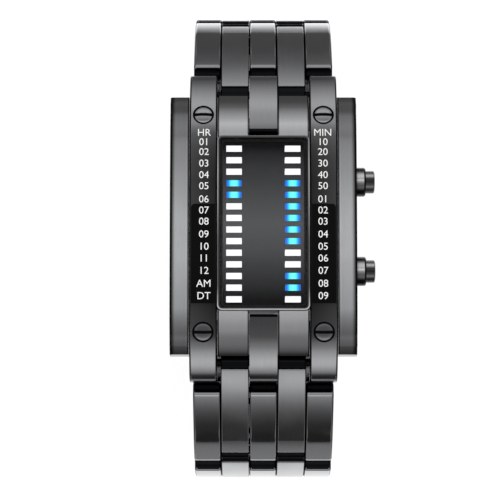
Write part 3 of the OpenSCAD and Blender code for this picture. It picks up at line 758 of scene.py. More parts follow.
# Painted reflection on the mask: graded from black at the ends of the window to smoke grey in its middle
MASK_PAINTED_REFLECTION = ((-14.6, 0.03), (-13.5, 0.1), (-11.3, 0.27), (-8, 0.48), (-4.6, 0.78), (0, 1.0), (4.4, 0.78),
             (7.7, 0.55), (11, 0.38), (13.3, 0.2), (14.4, 0.06), (15.5, 0.02))


def both_pushers(painted_light: Sequence[Point]) -> tuple[Point, ...]:
    """Painted highlight along the watch, from the one along a single pusher."""
    return tuple((place + y, share) for place in (-PUSHER_Y, PUSHER_Y) for y, share in painted_light)


class Finish(Enum):
    """Finishes of the watch."""

    # Stainless steel under a dark vapour-deposited plating: polished, it mirrors the studio in grey
    POLISHED = Metal("gunmetal_plated_steel_polished", "#a9aaac", 0.12)
    # Rails, centre lugs and rail screws get the painted reflection; the rails also get extra painted shade
    # beside the glass
    RAIL = Metal("gunmetal_plated_steel_rail", "#a9aaac", 0.13, painted_light=RAIL_PAINTED_LIGHT, inward=0.75)
    LUG = Metal("gunmetal_plated_steel_centre_lug", "#a9aaac", 0.13, painted_light=RAIL_PAINTED_LIGHT)
    # Side plates: painted reflection along them, painted shade and highlight across them
    PLATE = Metal("gunmetal_plated_steel_side_plate", "#bdbec0", 0.2, painted_light=PLATE_PAINTED_LIGHT, across=PLATE_PAINTED_ACROSS)
    # End blocks: painted reflection along them
    BLOCK = Metal("gunmetal_plated_steel_end_block", "#dfe0e2", 0.2, painted_light=BLOCK_PAINTED_LIGHT)
    # The same plating over a satin-brushed face: softer reflections along the bracelet
    SATIN = Metal("gunmetal_plated_steel_satin", "#a9aaac", 0.2, grain=(0.1, 4.0, 4.0), relief=0.03)
    # Painted shade on the plating in gaps, slots and recesses and on shaded edges: dull and nearly black
    RECESS = Metal("gunmetal_plated_steel_painted_shade", "#1b1c1e", 0.25)
    # Black-plated display frame, and its rim, painted bright as a highlight line
    BEZEL = Metal("black_plated_steel_polished", "#39393b", 0.2)
    RIM = Metal("plated_steel_rim_painted_highlight", "#e6e7e8", 0.35, painted_light=RIM_HIGHLIGHT)
    # Pushers: the plating over a turned, blasted surface, so that highlights spread, with a painted highlight
    # on each collar and cap
    COLLAR = Metal("gunmetal_plated_steel_collar", "#f4f5f6", 0.22, grain=(0.3, 0.3, 0.3), relief=0.03,
                   painted_light=both_pushers(COLLAR_HIGHLIGHT))
    CAP = Metal("gunmetal_plated_steel_cap", "#e4e5e6", 0.22, grain=(0.3, 0.3, 0.3), relief=0.03,
                painted_light=both_pushers(CAP_HIGHLIGHT))
    # Bare steel, brushed across: the clasp's blades, the case back and the coin cell
    BRUSHED = Metal("bare_steel_brushed", "#b9babb", 0.3, grain=(4.0, 0.1, 0.5), relief=0.12)
    # Ground springs, screws and small hidden pieces: bare and bright, with fine lines
    GROUND = Metal("bare_steel_ground", "#c2c3c4", 0.22, grain=(0.08, 2.0, 2.0))
    # Gold-flashed spring brass of the switch contacts
    GILT = Metal("gold_flashed_brass", "#d8b45c", 0.25)
    # Glossy black inlay in the lower half of the scales, a painted dark reflection: nearly no colour
    LACQUER = Moulded("black_inlay_painted_reflection", "#050506", 0.2, relief=0.01, specular=0.06)
    # Screen-printed white ink, slightly raised and matt
    INK = Moulded("white_screen_ink", "#f2f2f0", 0.6, speck=0.08)
    # Metallised plate behind the glass, with a painted reflection that leaves it palest in its middle
    MASK = Metal("smoke_grey_metallised_mask", "#797a7c", 0.45, wander=0.0, relief=0.0, painted_light=MASK_PAINTED_REFLECTION)
    # Solder mask over copper: semi-gloss green
    BOARD = Moulded("green_solder_mask", "#1c5a38", 0.35)
    # Moulded epoxy of the chip
    EPOXY = Moulded("black_moulded_epoxy", "#1a1a1c", 0.55)
    # Moulded nylon of the movement holder, and of the mask's and bars' sides
    NYLON = Moulded("black_moulded_nylon", "#202123", 0.5)
    # Nitrile rubber of seals and gaskets
    RUBBER = Moulded("black_nitrile_rubber", "#151515", 0.75, specular=0.35)
    GLASS = SmokedGlass()
    # The pane's other faces, bare and clear
    BARE_GLASS = SmokedGlass("mineral_glass_bare_face", alpha=0.0)
    BAR_WHITE = LightBar("light_bar_white_painted_glow", ((0.0, "#ffffff"), (1.0, "#fbfbff")), 1.25)
    BAR_BLUE = LightBar("light_bar_blue_lit", ((0.0, "#78ffff"), (0.36, "#50fdf8"), (0.48, "#30e4fc"),
                                               (0.6, "#10b4ff"), (0.72, "#0084e8"), (0.86, "#0064d0")), 1.25)

    def get(self) -> bpy.types.Material:
        """The Blender material, built on first use."""
        return bpy.data.materials.get(self.value.name) or self.value.make()


# Bracelet


class NearEnd(Enum):
    """How a link's piece starts, next to the pin it turns on."""

    BARREL = "a barrel that turns on the pin"
    NOSE = "a round nose that clears the piece before it"


class FarEnd(Enum):
    """How a link's piece ends, at the pin of the next link."""

    ROUND = "round, and held on the pin"
    HOLLOW = "hollowed for the next barrel"


@dataclass
class Bracelet:
    """Six curved links, three each side, bored for their pins."""

    # Radius of the outer faces, thickness, and distance between two pins along the outer face
    radius: float = 40.0
    thickness: float = 4.8
    pitch: float = 23.2
    # Radii of the barrels and noses, and what is left free round them
    barrel: float = 1.9
    nose: float = 1.6
    clearance: float = 0.2
    play: float = 0.1
    # Where the faces begin beyond the near pin, on a piece with a barrel and on one with a nose
    lead: float = 0.4
    shift: float = 5.3
    # How far a hollow end stops before the next pin, and how much earlier the last outer bars stop
    tail: float = 1.9
    last_tail: float = 0.7
    # Angle along the arc where the outer face bends, and how much the facet beyond it drops away
    crease: float = 24.2
    facet: float = 5.5
    # Radius of the round end where the facet runs into it
    toe: float = 1.9
    rounding: float = 0.56
    # Gap between two bars in the solids, and here
    solid_gap: float = 0.2
    seam: float = 0.03
    # Radii of the holes in barrels and at the rivets, and place of the second rivet along the link
    barrel_hole: float = 0.8
    rivet: float = 0.63
    rivet_share: float = 0.72

    def __post_init__(self) -> None:
        """Works out the link's angles and where the links sit."""
        self.arm = self.radius - self.thickness / 2
        self.turn = math.degrees(self.pitch / self.radius)
        self.pins = [pivot(f"link_12_{n}_hinge") for n in (1, 2, 3)] + [pivot("clasp_base_hinge")]
        self.nose_at = math.degrees((LUG_RADIUS + self.clearance + self.play + self.nose) / self.arm)
        self.rivet_at = self.turn * self.rivet_share

    def along(self, radius: float, angle: float) -> Point:
        """Point at a radius and an angle along the link's arc, from the near pin."""
        a = math.radians(angle)
        return radius * math.sin(a), radius * math.cos(a) - self.arm

    def between(self, radius: float, first: float, last: float, steps: int) -> Outline:
        """Points at one radius between two angles, both ends left out."""
        return [self.along(radius, first + (last - first) * i / steps) for i in range(1, steps)]

    def start(self, near: NearEnd) -> Outline:
        """Points of a near end, from its underside to its outer face.

        Args:
            near: How the piece starts.

        Returns:
            The points in order.
        """
        at = math.degrees((self.lead if near is NearEnd.BARREL else self.shift) / self.radius)
        radius = self.barrel if near is NearEnd.BARREL else self.nose
        centre_at = 0.0 if near is NearEnd.BARREL else self.nose_at
        gap = self.arm * math.sin(math.radians(abs(centre_at - at)))
        sweep = math.degrees(math.asin(gap / radius))
        sign = -1 if near is NearEnd.BARREL else 1
        round_end = arc(self.along(self.arm, centre_at), radius, centre_at - 180 + sign * sweep,
                        centre_at - sign * sweep, 20)
        return [self.along(self.radius - self.thickness, at), *round_end, self.along(self.radius, at)]

    def end(self, far: FarEnd, tail: float) -> Outline:
        """Points of a far end, from the crease of the outer face to the underside.

        Args:
            far: How the piece ends.
            tail: Distance from the hollow end to the next pin in millimetres.

        Returns:
            The points in order.
        """
        bend = self.along(self.radius, self.crease)
        pin = self.along(self.arm, self.turn)
        start = self.crease + self.facet
        lean = math.radians(start)
        # The facet is a wide arc that runs into the round end without a kink
        off = (bend[0] - pin[0], bend[1] - pin[1])
        reach = off[0] * math.sin(lean) + off[1] * math.cos(lean)
        wide = (off[0] ** 2 + off[1] ** 2 - self.toe ** 2) / (2 * (reach - self.toe))
        centre = (bend[0] - wide * math.sin(lean), bend[1] - wide * math.cos(lean))
        meet = math.degrees(math.atan2(pin[0] - centre[0], pin[1] - centre[1]))
        if far is FarEnd.ROUND:
            points = arc(centre, wide, start, meet, 10)
            # The round end widens from the toe to half the thickness over its first 70 percent
            steps, widening = 16, 1.4
            for step in range(1, steps + 1):
                share = step / steps
                angle = math.radians(meet + share * (self.turn + 180 - meet))
                radius = self.toe + (self.thickness / 2 - self.toe) * min(1.0, share * widening)
                points.append((pin[0] + radius * math.sin(angle), pin[1] + radius * math.cos(angle)))
            return points
        at = self.turn - math.degrees(tail / self.radius)
        # The facet is drawn a little past its end, and cut off where the hollow begins
        past = 8
        points = [p for p in arc(centre, wide, start, meet + past, 60)
                  if math.degrees(math.atan2(p[0], p[1] + self.arm)) < at]
        gap = self.arm * math.sin(math.radians(self.turn - at))
        clear = self.barrel + self.clearance
        if gap < clear:
            sweep = math.degrees(math.asin(gap / clear))
            points += arc(pin, clear, self.turn - sweep, self.turn - 180 + sweep, 10)
        return points + [self.along(self.radius - self.thickness, at)]

    def piece(self, name: str, x0: float, x1: float, near: NearEnd, far: FarEnd,
              tail: float | None = None) -> bpy.types.Object:
        """One bar of a link in the link's own frame, whose origin is its near pin.

        Args:
            name: Name of the bar.
            x0: Its first side.
            x1: Its second side.
            near: How it starts.
            far: How it ends.
            tail: Distance from a hollow end to the next pin.

        Returns:
            The bar.
        """
        tail = self.tail if tail is None else tail
        first = math.degrees((self.lead if near is NearEnd.BARREL else self.shift) / self.radius)
        last = self.turn if far is FarEnd.ROUND else self.turn - math.degrees(tail / self.radius)
        top = self.between(self.radius, first, self.crease, 26)
        under = self.between(self.radius - self.thickness, last, first, 20)
        outline = eased(self.start(near) + top + self.end(far, tail) + under, 1.5 * self.rounding)
        bar = prism(name, outline, x0, x1)
        bevel(bar, self.rounding)
        if near is NearEnd.BARREL:
            bore(bar, (0, 0), self.barrel_hole)
        if far is FarEnd.ROUND:
            bore(bar, self.along(self.arm, self.turn), PIN_HOLE)
        for at in (self.nose_at, self.rivet_at):
            bore(bar, self.along(self.arm, at), self.rivet)
        # Faces within this many degrees of an end that another piece hides get painted shade
        margin = 0.1
        for face in bar.data.polygons:
            y, z = face.center.y / MM, face.center.z / MM
            at = math.degrees(math.atan2(y, z + self.arm))
            hidden = at < first + margin or (far is FarEnd.HOLLOW and at > last - margin)
            face.material_index = int((hidden and abs(face.normal.x) < 0.5) or shaded_edge(face))
        return bar

    def place(self, side: int, number: int) -> Matrix:
        """Where a link sits.

        Args:
            side: 1 towards 12 o'clock and -1 towards 6.
            number: Number of the link, counted from the case.

        Returns:
            The place as a matrix.
        """
        near, far = self.pins[number - 1], self.pins[number]
        chord = math.atan2(near[1] - far[1], far[0] - near[0])
        slope = chord - math.radians(self.turn) / 2
        turn = Matrix.Rotation(0 if side > 0 else math.pi, 4, "Z")
        move = Matrix.Translation((0, near[0] * MM, near[1] * MM))
        return turn @ move @ Matrix.Rotation(-slope, 4, "X")

    def build(self) -> None:
        """Models each kind of bar once and copies it to its places."""
        outer = Span.of("link_12_1_outer")
        inner = Span.of("link_12_1_inner")
        centre = Span.of("link_12_1_centre")
        # Each bar takes its share of the solids' gap, because the real bars nearly touch
        half_gap = self.solid_gap / 2 - self.seam / 2
        centre_x = centre.high.x + half_gap
        inner_x0, inner_x1 = centre_x + self.seam, inner.high.x + half_gap
        outer_x0, outer_x1 = inner_x1 + self.seam, outer.high.x
        kinds = {
            "outer": self.piece("outer_bar", outer_x0, outer_x1, NearEnd.NOSE, FarEnd.ROUND),
            "inner": self.piece("inner_bar", inner_x0, inner_x1, NearEnd.BARREL, FarEnd.HOLLOW),
            "centre": self.piece("centre_bar", -centre_x, centre_x, NearEnd.NOSE, FarEnd.ROUND),
            "last_outer": self.piece("last_outer_bar", outer_x0, outer_x1, NearEnd.NOSE, FarEnd.HOLLOW,
                                     self.tail + self.last_tail),
            "tongue": self.piece("tongue_bar", inner_x0, inner_x1, NearEnd.BARREL, FarEnd.ROUND),
        }
        for name, bar in kinds.items():
            if name != "centre":
                twin(bar)
            smooth(bar)
        for side, hour in ((1, 12), (-1, 6)):
            for number in (1, 2, 3):
                last = side < 0 and number == 3
                for column in ("outer", "inner", "centre"):
                    kind = column
                    if last:
                        kind = {"outer": "last_outer", "inner": "tongue"}.get(column, column)
                    node = f"link_{hour}_{number}_{column}"
                    bar = copied(kinds[kind], f"{node}_bars")
                    settle(bar, self.place(side, number))
                    finish = Finish.SATIN if column == "inner" else Finish.POLISHED
                    fit(bar, f"link_{hour}_{number}", (finish, Finish.RECESS), "dark_steel", node)
        for bar in kinds.values():
            bpy.data.objects.remove(bar)


# Case


@dataclass
class CaseTop:
    """Arched top of the case in the side view: a nearly flat middle and two tighter ends."""

    height: float = 11.5
    flat_radius: float = 250.0
    flat_half: float = 16.0
    end_radius: float = 22.0
    lug_angle: float = 37.0
    # Seat of the rails on the case middle, where it ends, and where a lug's underside leaves it
    seat: float = 7.2
    root: float = 18.0
    under_angle: float = 22.7

    def __post_init__(self) -> None:
        """Works out where the two arcs meet."""
        self.meet = math.degrees(math.asin(self.flat_half / self.flat_radius))
        meet = math.radians(self.meet)
        bottom = self.height - self.flat_radius
        self.end_centre = (self.flat_half - self.end_radius * math.sin(meet),
                           bottom + (self.flat_radius - self.end_radius) * math.cos(meet))
        self.lug_pin = pivot("link_12_1_hinge")

    def surface(self, y: float) -> float:
        """Height of the nearly flat middle at a distance from the middle of the watch."""
        return self.height - self.flat_radius + math.sqrt(self.flat_radius ** 2 - y * y)

    def ridge(self, drop: float, last: float) -> Outline:
        """Points of the top from the middle of the watch to an angle on the end arc.

        Args:
            drop: How far it lies under the rails' top.
            last: Angle on the end arc, in degrees.

        Returns:
            The points in order.
        """
        flat = arc((0, self.height - self.flat_radius), self.flat_radius - drop, 0, self.meet, 24)
        return flat + arc(self.end_centre, self.end_radius - drop, self.meet, last, 24)[1:]

    def lug(self) -> Outline:
        """Points of a rail from the end of its top round the lug and back to the seat.

        Returns:
            The points in order.
        """
        round_end = arc(self.lug_pin, LUG_RADIUS, self.lug_angle, self.lug_angle + 180, 28)[1:]
        inner = arc(self.end_centre, self.end_radius - 2 * LUG_RADIUS, self.lug_angle,
                    self.under_angle, 8)[1:]
        return round_end + inner + [(self.root, self.seat)]


@dataclass
class Case:
    """Case middle, rails, centre lugs, screws and back."""

    top: CaseTop = field(default_factory=CaseTop)
    rounding: float = 0.5
    # Rail screws: place along the watch, diameter and depth of the head, slot, shank's radius, length
    screw_y: float = 20.5
    screw_head: float = 3.5
    head_depth: float = 1.05
    slot: float = 0.6
    shank: float = 0.8
    screw_length: float = 8.5
    # Recess round a screw's head: radius, radius of its rim, depth
    recess: float = 1.95
    recess_rim: float = 2.1
    recess_depth: float = 1.1
    # Centre lugs: how much earlier they begin than the solid, step at the front, added width on each side
    lug_lead: float = 0.35
    lug_step: float = 0.55
    lug_spread: float = 0.06
    lug_rounding: float = 0.42
    # The side plates lie outside plate_x; beyond end_y there is a channel up to channel_x and then a block
    plate_x: float = 13.9
    channel_x: float = 2.6
    block_x: float = 8.6
    end_y: float = 16.3

    def screw_place(self, x: float, side: int) -> Matrix:
        """Where a rail screw sits, its axis square to the rail's surface.

        Args:
            x: Distance of the screw from the middle of the watch.
            side: 1 towards 12 o'clock and -1 towards 6.

        Returns:
            The place as a matrix.
        """
        centre, radius = self.top.end_centre, self.top.end_radius
        lean = math.asin((self.screw_y - centre[0]) / radius)
        y = centre[0] + radius * math.sin(lean)
        z = centre[1] + radius * math.cos(lean)
        return Matrix.Translation((x * MM, side * y * MM, z * MM)) @ Matrix.Rotation(-side * lean, 4, "X")

    def rail(self, name: str, x0: float, x1: float) -> bpy.types.Object:
        """Rail with its two lugs, pin holes and screw recesses.

        Args:
            name: Name of the piece.
            x0: Its first side.
            x1: Its second side.

        Returns:
            The rail.
        """
        half = self.top.ridge(0, self.top.lug_angle) + self.top.lug()
        other = [(-y, z) for y, z in reversed(half[1:])]
        rail = prism(name, half + other, x0, x1)
        bevel(rail, self.rounding, 4)
        for side in (1, -1):
            bore(rail, (side * self.top.lug_pin[0], self.top.lug_pin[1]), PIN_HOLE)
            floor, mouth = -self.recess_depth, 3
            sink = turned("sink", [(0, floor), (self.recess - 0.01, floor), (self.recess, -0.05),
                                   (self.recess_rim, 0.1), (self.recess_rim, mouth), (0, mouth)], 48)
            settle(sink, self.screw_place((x0 + x1) / 2, side))
            cut(rail, sink)
        smooth(rail)
        # Painted shade: the recesses' walls and floors are dark, and so are the steep halves of the rounded
        # edges
        for side in (1, -1):
            to_screw = self.screw_place((x0 + x1) / 2, side).inverted()
            for face in rail.data.polygons:
                spot = (to_screw @ face.center) / MM
                sunk = abs((to_screw.to_3x3() @ face.normal).z) < 0.8 or spot.z < -0.9
                if shaded_edge(face) or (math.hypot(spot.x, spot.y) < self.recess_rim + 0.05 and sunk):
                    face.material_index = 1
        return rail

    def centre_lug(self, name: str, side: int) -> bpy.types.Object:
        """Short lug in line with the bracelet's centre column.

        Args:
            name: Name of the piece.
            side: 1 towards 12 o'clock and -1 towards 6.

        Returns:
            The lug.
        """
        box = Span.of("centre_lug_12")
        begin = box.low.y - self.lug_lead
        lean = math.degrees(math.asin((begin - self.top.end_centre[0]) / self.top.end_radius))
        ridge = arc(self.top.end_centre, self.top.end_radius, lean, self.top.lug_angle, 20)
        top = ridge[0][1]
        front = [(begin, self.top.seat), (begin, top - self.lug_step), (begin + self.lug_step, top - 0.12)]
        outline = front + ridge[1:] + self.top.lug()
        lug = prism(name, [(side * y, z) for y, z in outline], box.low.x - self.lug_spread,
                    box.high.x + self.lug_spread)
        bevel(lug, self.lug_rounding, 4)
        bore(lug, (side * self.top.lug_pin[0], self.top.lug_pin[1]), PIN_HOLE)
        smooth(lug)
        # Painted shade on the faces that look back towards the case middle and on the steep halves of rounded
        # edges
        for face in lug.data.polygons:
            face.material_index = int(side * face.normal.y < -0.25 or shaded_edge(face))
        return lug

    def screw(self) -> bpy.types.Object:
        """Slotted screw with a domed, chamfered head, its rim at the origin.

        Returns:
            The screw.
        """
        half, shank, under, end = self.screw_head / 2, self.shank, -self.head_depth, -self.screw_length
        # The dome's height in the middle, its fall to the rim, and how much faster it falls than it widens
        rise, fall, bend = 0.15, 0.35, 1.25
        dome = [(half * math.sin(a),
                 rise - fall * (1 - math.cos(a * bend)) / (1 - math.cos(bend * math.pi / 2)))
                for a in [math.pi / 2 * i / 8 for i in range(9)]]
        profile = dome + [(half, under), (shank, under), (shank, end + 0.1), (shank - 0.2, end), (0, end)]
        screw = turned("rail_screw_dome", profile, 48)
        bpy.ops.object.select_all(action="DESELECT")
        bpy.ops.mesh.primitive_cube_add(size=MM, location=(0, 0, 0.1 * MM),
                                        scale=(self.screw_head + 1, self.slot, 1.2))
        cut(screw, bpy.context.object)
        bevel(screw, 0.08, 2, 50)
        smooth(screw)
        # Painted shade: slot, side and the outermost ring of the head are dark
        ring = 0.13
        for face in screw.data.polygons:
            spot = face.center / MM
            in_slot = abs(spot.y) < self.slot / 2 + 0.03 and spot.z < 0.0
            at_rim = math.hypot(spot.x, spot.y) > half - ring
            face.material_index = int(in_slot or spot.z < -0.6 or at_rim)
        return screw

    def build(self) -> None:
        """Models the case's pieces."""
        middle = node_copy("case_body", "case_middle", 0.14)
        finishes = (Finish.POLISHED, Finish.PLATE, Finish.BLOCK, Finish.RECESS)
        for face in middle.data.polygons:
            x, y = abs(face.center.x) / MM, abs(face.center.y) / MM
            on_plate = x > self.plate_x and abs(face.normal.x) < 0.9
            at_end = y > self.end_y
            finish = Finish.POLISHED
            # Painted shade on the steep halves of the plates' rounded edges and in the channel between the
            # end blocks
            if (on_plate and shaded_edge(face)) or (at_end and x < self.channel_x):
                finish = Finish.RECESS
            elif on_plate:
                finish = Finish.PLATE
            elif at_end and self.channel_x < x < self.block_x:
                finish = Finish.BLOCK
            face.material_index = finishes.index(finish)
        fit(middle, "case", finishes, "dark_steel", "case_body")
        for node in ("rail_left", "rail_right"):
            box = Span.of(node)
            bar = self.rail(f"{node}_bar", box.low.x, box.high.x)
            fit(bar, "case", (Finish.RAIL, Finish.RECESS), "dark_steel", node)
        for node, side in (("centre_lug_12", 1), ("centre_lug_6", -1)):
            bar = self.centre_lug(f"{node}_bar", side)
            fit(bar, "case", (Finish.LUG, Finish.RECESS), "dark_steel", node)
        rail = Span.of("rail_right")
        screw = self.screw()
        middle = (rail.low.x + rail.high.x) / 2
        for x in (-middle, middle):
            for side in (1, -1):
                name = f"rail_screw_{'left' if x < 0 else 'right'}_{12 if side > 0 else 6}"
                copy = copied(screw, name)
                settle(copy, self.screw_place(x, side))
                fit(copy, "case", (Finish.LUG, Finish.RECESS), "dark_steel", "rail_screws")
        bpy.data.objects.remove(screw)
        fit(node_copy("case_back", "case_back_plate", 0.12), "case", Finish.BRUSHED, "steel", "case_back")
        fit(node_copy("back_screws", "back_screw_set", 0.03), "case", Finish.GROUND, "steel", "back_screws")


# Display


@dataclass
class Display:
    """Frame, glass, mask and the two columns of light bars."""

    pitch: float = 2.19
    rows: int = 14
    bar_width: float = 1.12
    # Corners of the frame, play round what sits in it, and its rim's width and rise
    corner: float = 0.9
    play: float = 0.05
    rim_width: float = 0.2
    rim_rise: float = 0.1
    # The pane's rise in the middle and the radius of its crown
    crown: float = 0.3
    crown_radius: float = 250.0
    lit_hours: tuple[int, ...] = (4, 5)
    lit_minutes: tuple[int, ...] = (4, 5, 6, 7, 8, 9, 12, 13)

    def bezel(self) -> bpy.types.Object:
        """Thin polished frame round the glass, open in the middle.

        Returns:
            The frame.
        """
        box, glass, mask = Span.of("display_frame"), Span.of("glass"), Span.of("led_mask")
        top, ledge = box.high.z - self.rim_rise, glass.low.z - 0.2
        bezel = slab("display_bezel", box.high.x, box.high.y, box.low.z, top, self.corner)
        cut(bezel, slab("opening", mask.high.x + self.play, mask.high.y + self.play, 0, ABOVE, 0.5))
        cut(bezel, slab("ledge", glass.high.x + self.play, glass.high.y + self.play, ledge, ABOVE, 0.6))
        bevel(bezel, 0.1, 3, 50)
        smooth(bezel)
        return bezel

    def rim(self) -> bpy.types.Object:
        """Fine raised rim round the frame's top.

        Returns:
            The rim.
        """
        box = Span.of("display_frame")
        proud = 0.02
        low, top = box.high.z - self.rim_rise - 0.3, box.high.z + proud
        rim = slab("display_rim", box.high.x + proud, box.high.y + proud, low, top, self.corner)
        cut(rim, slab("opening", box.high.x - self.rim_width, box.high.y - self.rim_width, 0, ABOVE, 0.75))
        bevel(rim, 0.04, 2, 50)
        smooth(rim)
        return rim

    def pane(self) -> bpy.types.Object:
        """Glass with a slightly crowned top.

        Returns:
            The pane.
        """
        box = Span.of("glass")
        pane = slab("smoked_pane", box.high.x, box.high.y, box.low.z, box.high.z, 0.55)
        make_active(pane)
        bpy.ops.object.mode_set(mode="EDIT")
        steps = 24
        for step in range(1, steps):
            bpy.ops.mesh.select_all(action="SELECT")
            y = box.low.y + (box.high.y - box.low.y) * step / steps
            bpy.ops.mesh.bisect(plane_co=(0, y * MM, 0), plane_no=(0, 1, 0))
        bpy.ops.object.mode_set(mode="OBJECT")
        for vertex in pane.data.vertices:
            if vertex.co.z > (box.high.z - 0.01) * MM:
                y = vertex.co.y / MM
                vertex.co.z += (self.crown - y * y / (2 * self.crown_radius)) * MM
        bevel(pane, 0.12, 3, 50)
        smooth(pane)
        for face in pane.data.polygons:
            face.material_index = int(face.normal.z < 0.3)
        return pane

    def bar(self) -> bpy.types.Object:
        """One diode window from the board to the mask, with eased top edges.

        Returns:
            The bar, in the middle of the dial.
        """
        box = Span.of("hour_leds")
        bpy.ops.object.select_all(action="DESELECT")
        bpy.ops.mesh.primitive_plane_add(size=1, location=(0, 0, box.low.z * MM))
        bar = bpy.context.object
        bpy.ops.object.mode_set(mode="EDIT")
        bpy.ops.mesh.select_all(action="SELECT")
        bpy.ops.transform.resize(value=(2 * BAR_HALF * MM, self.bar_width * MM, 1))
        height = (box.high.z - box.low.z) * MM
        bpy.ops.mesh.extrude_region_move(TRANSFORM_OT_translate={"value": (0, 0, height)})
        bpy.ops.mesh.select_all(action="SELECT")
        bpy.ops.mesh.normals_make_consistent(inside=False)
        bpy.ops.object.mode_set(mode="OBJECT")
        settle(bar)
        bevel(bar, 0.05, 2)
        smooth(bar)
        for face in bar.data.polygons:
            face.material_index = int(face.normal.z < 0.5)
        return bar

    def column(self, name: str, x: float, rows: Sequence[int],
               template: bpy.types.Object) -> bpy.types.Object:
        """Copies one bar to some rows of a column.

        Args:
            name: Name of the piece.
            x: Middle of the column.
            rows: Rows counted from the top, from 1.
            template: The bar to copy.

        Returns:
            The bars as one piece.
        """
        bars = []
        for row in rows:
            bar = copied(template, f"{name}_{row}")
            y = ((self.rows + 1) / 2 - row) * self.pitch
            settle(bar, Matrix.Translation((x * MM, y * MM, 0)))
            bars.append(bar)
        return joined(name, bars)

    def build(self) -> None:
        """Models the display."""
        fit(self.bezel(), "case", Finish.BEZEL, "dark_steel", "display_frame")
        fit(self.rim(), "case", Finish.RIM, "dark_steel", "display_frame")
        fit(self.pane(), "case", (Finish.GLASS, Finish.BARE_GLASS), "glass", "glass")
        mask = node_copy("led_mask", "slotted_mask")
        for face in mask.data.polygons:
            face.material_index = int(face.normal.z < 0.5)
        fit(mask, "case", (Finish.MASK, Finish.NYLON), "black_mask", "led_mask")
        template = self.bar()
        for node, stem, x, lit in (("hour_leds", "hour", -BAR_X, self.lit_hours),
                                   ("minute_leds", "minute", BAR_X, self.lit_minutes)):
            dark = [row for row in range(1, self.rows + 1) if row not in lit]
            # Unlit rows get the white bars with a painted glow, lit rows the glowing blue ones
            white = self.column(f"{stem}_bars_white", x, dark, template)
            fit(white, "case", (Finish.BAR_WHITE, Finish.NYLON), "led", node)
            blue = self.column(f"{stem}_bars_lit", x, lit, template)
            fit(blue, "case", (Finish.BAR_BLUE, Finish.NYLON), "led", node)
        bpy.data.objects.remove(template)


# Scales


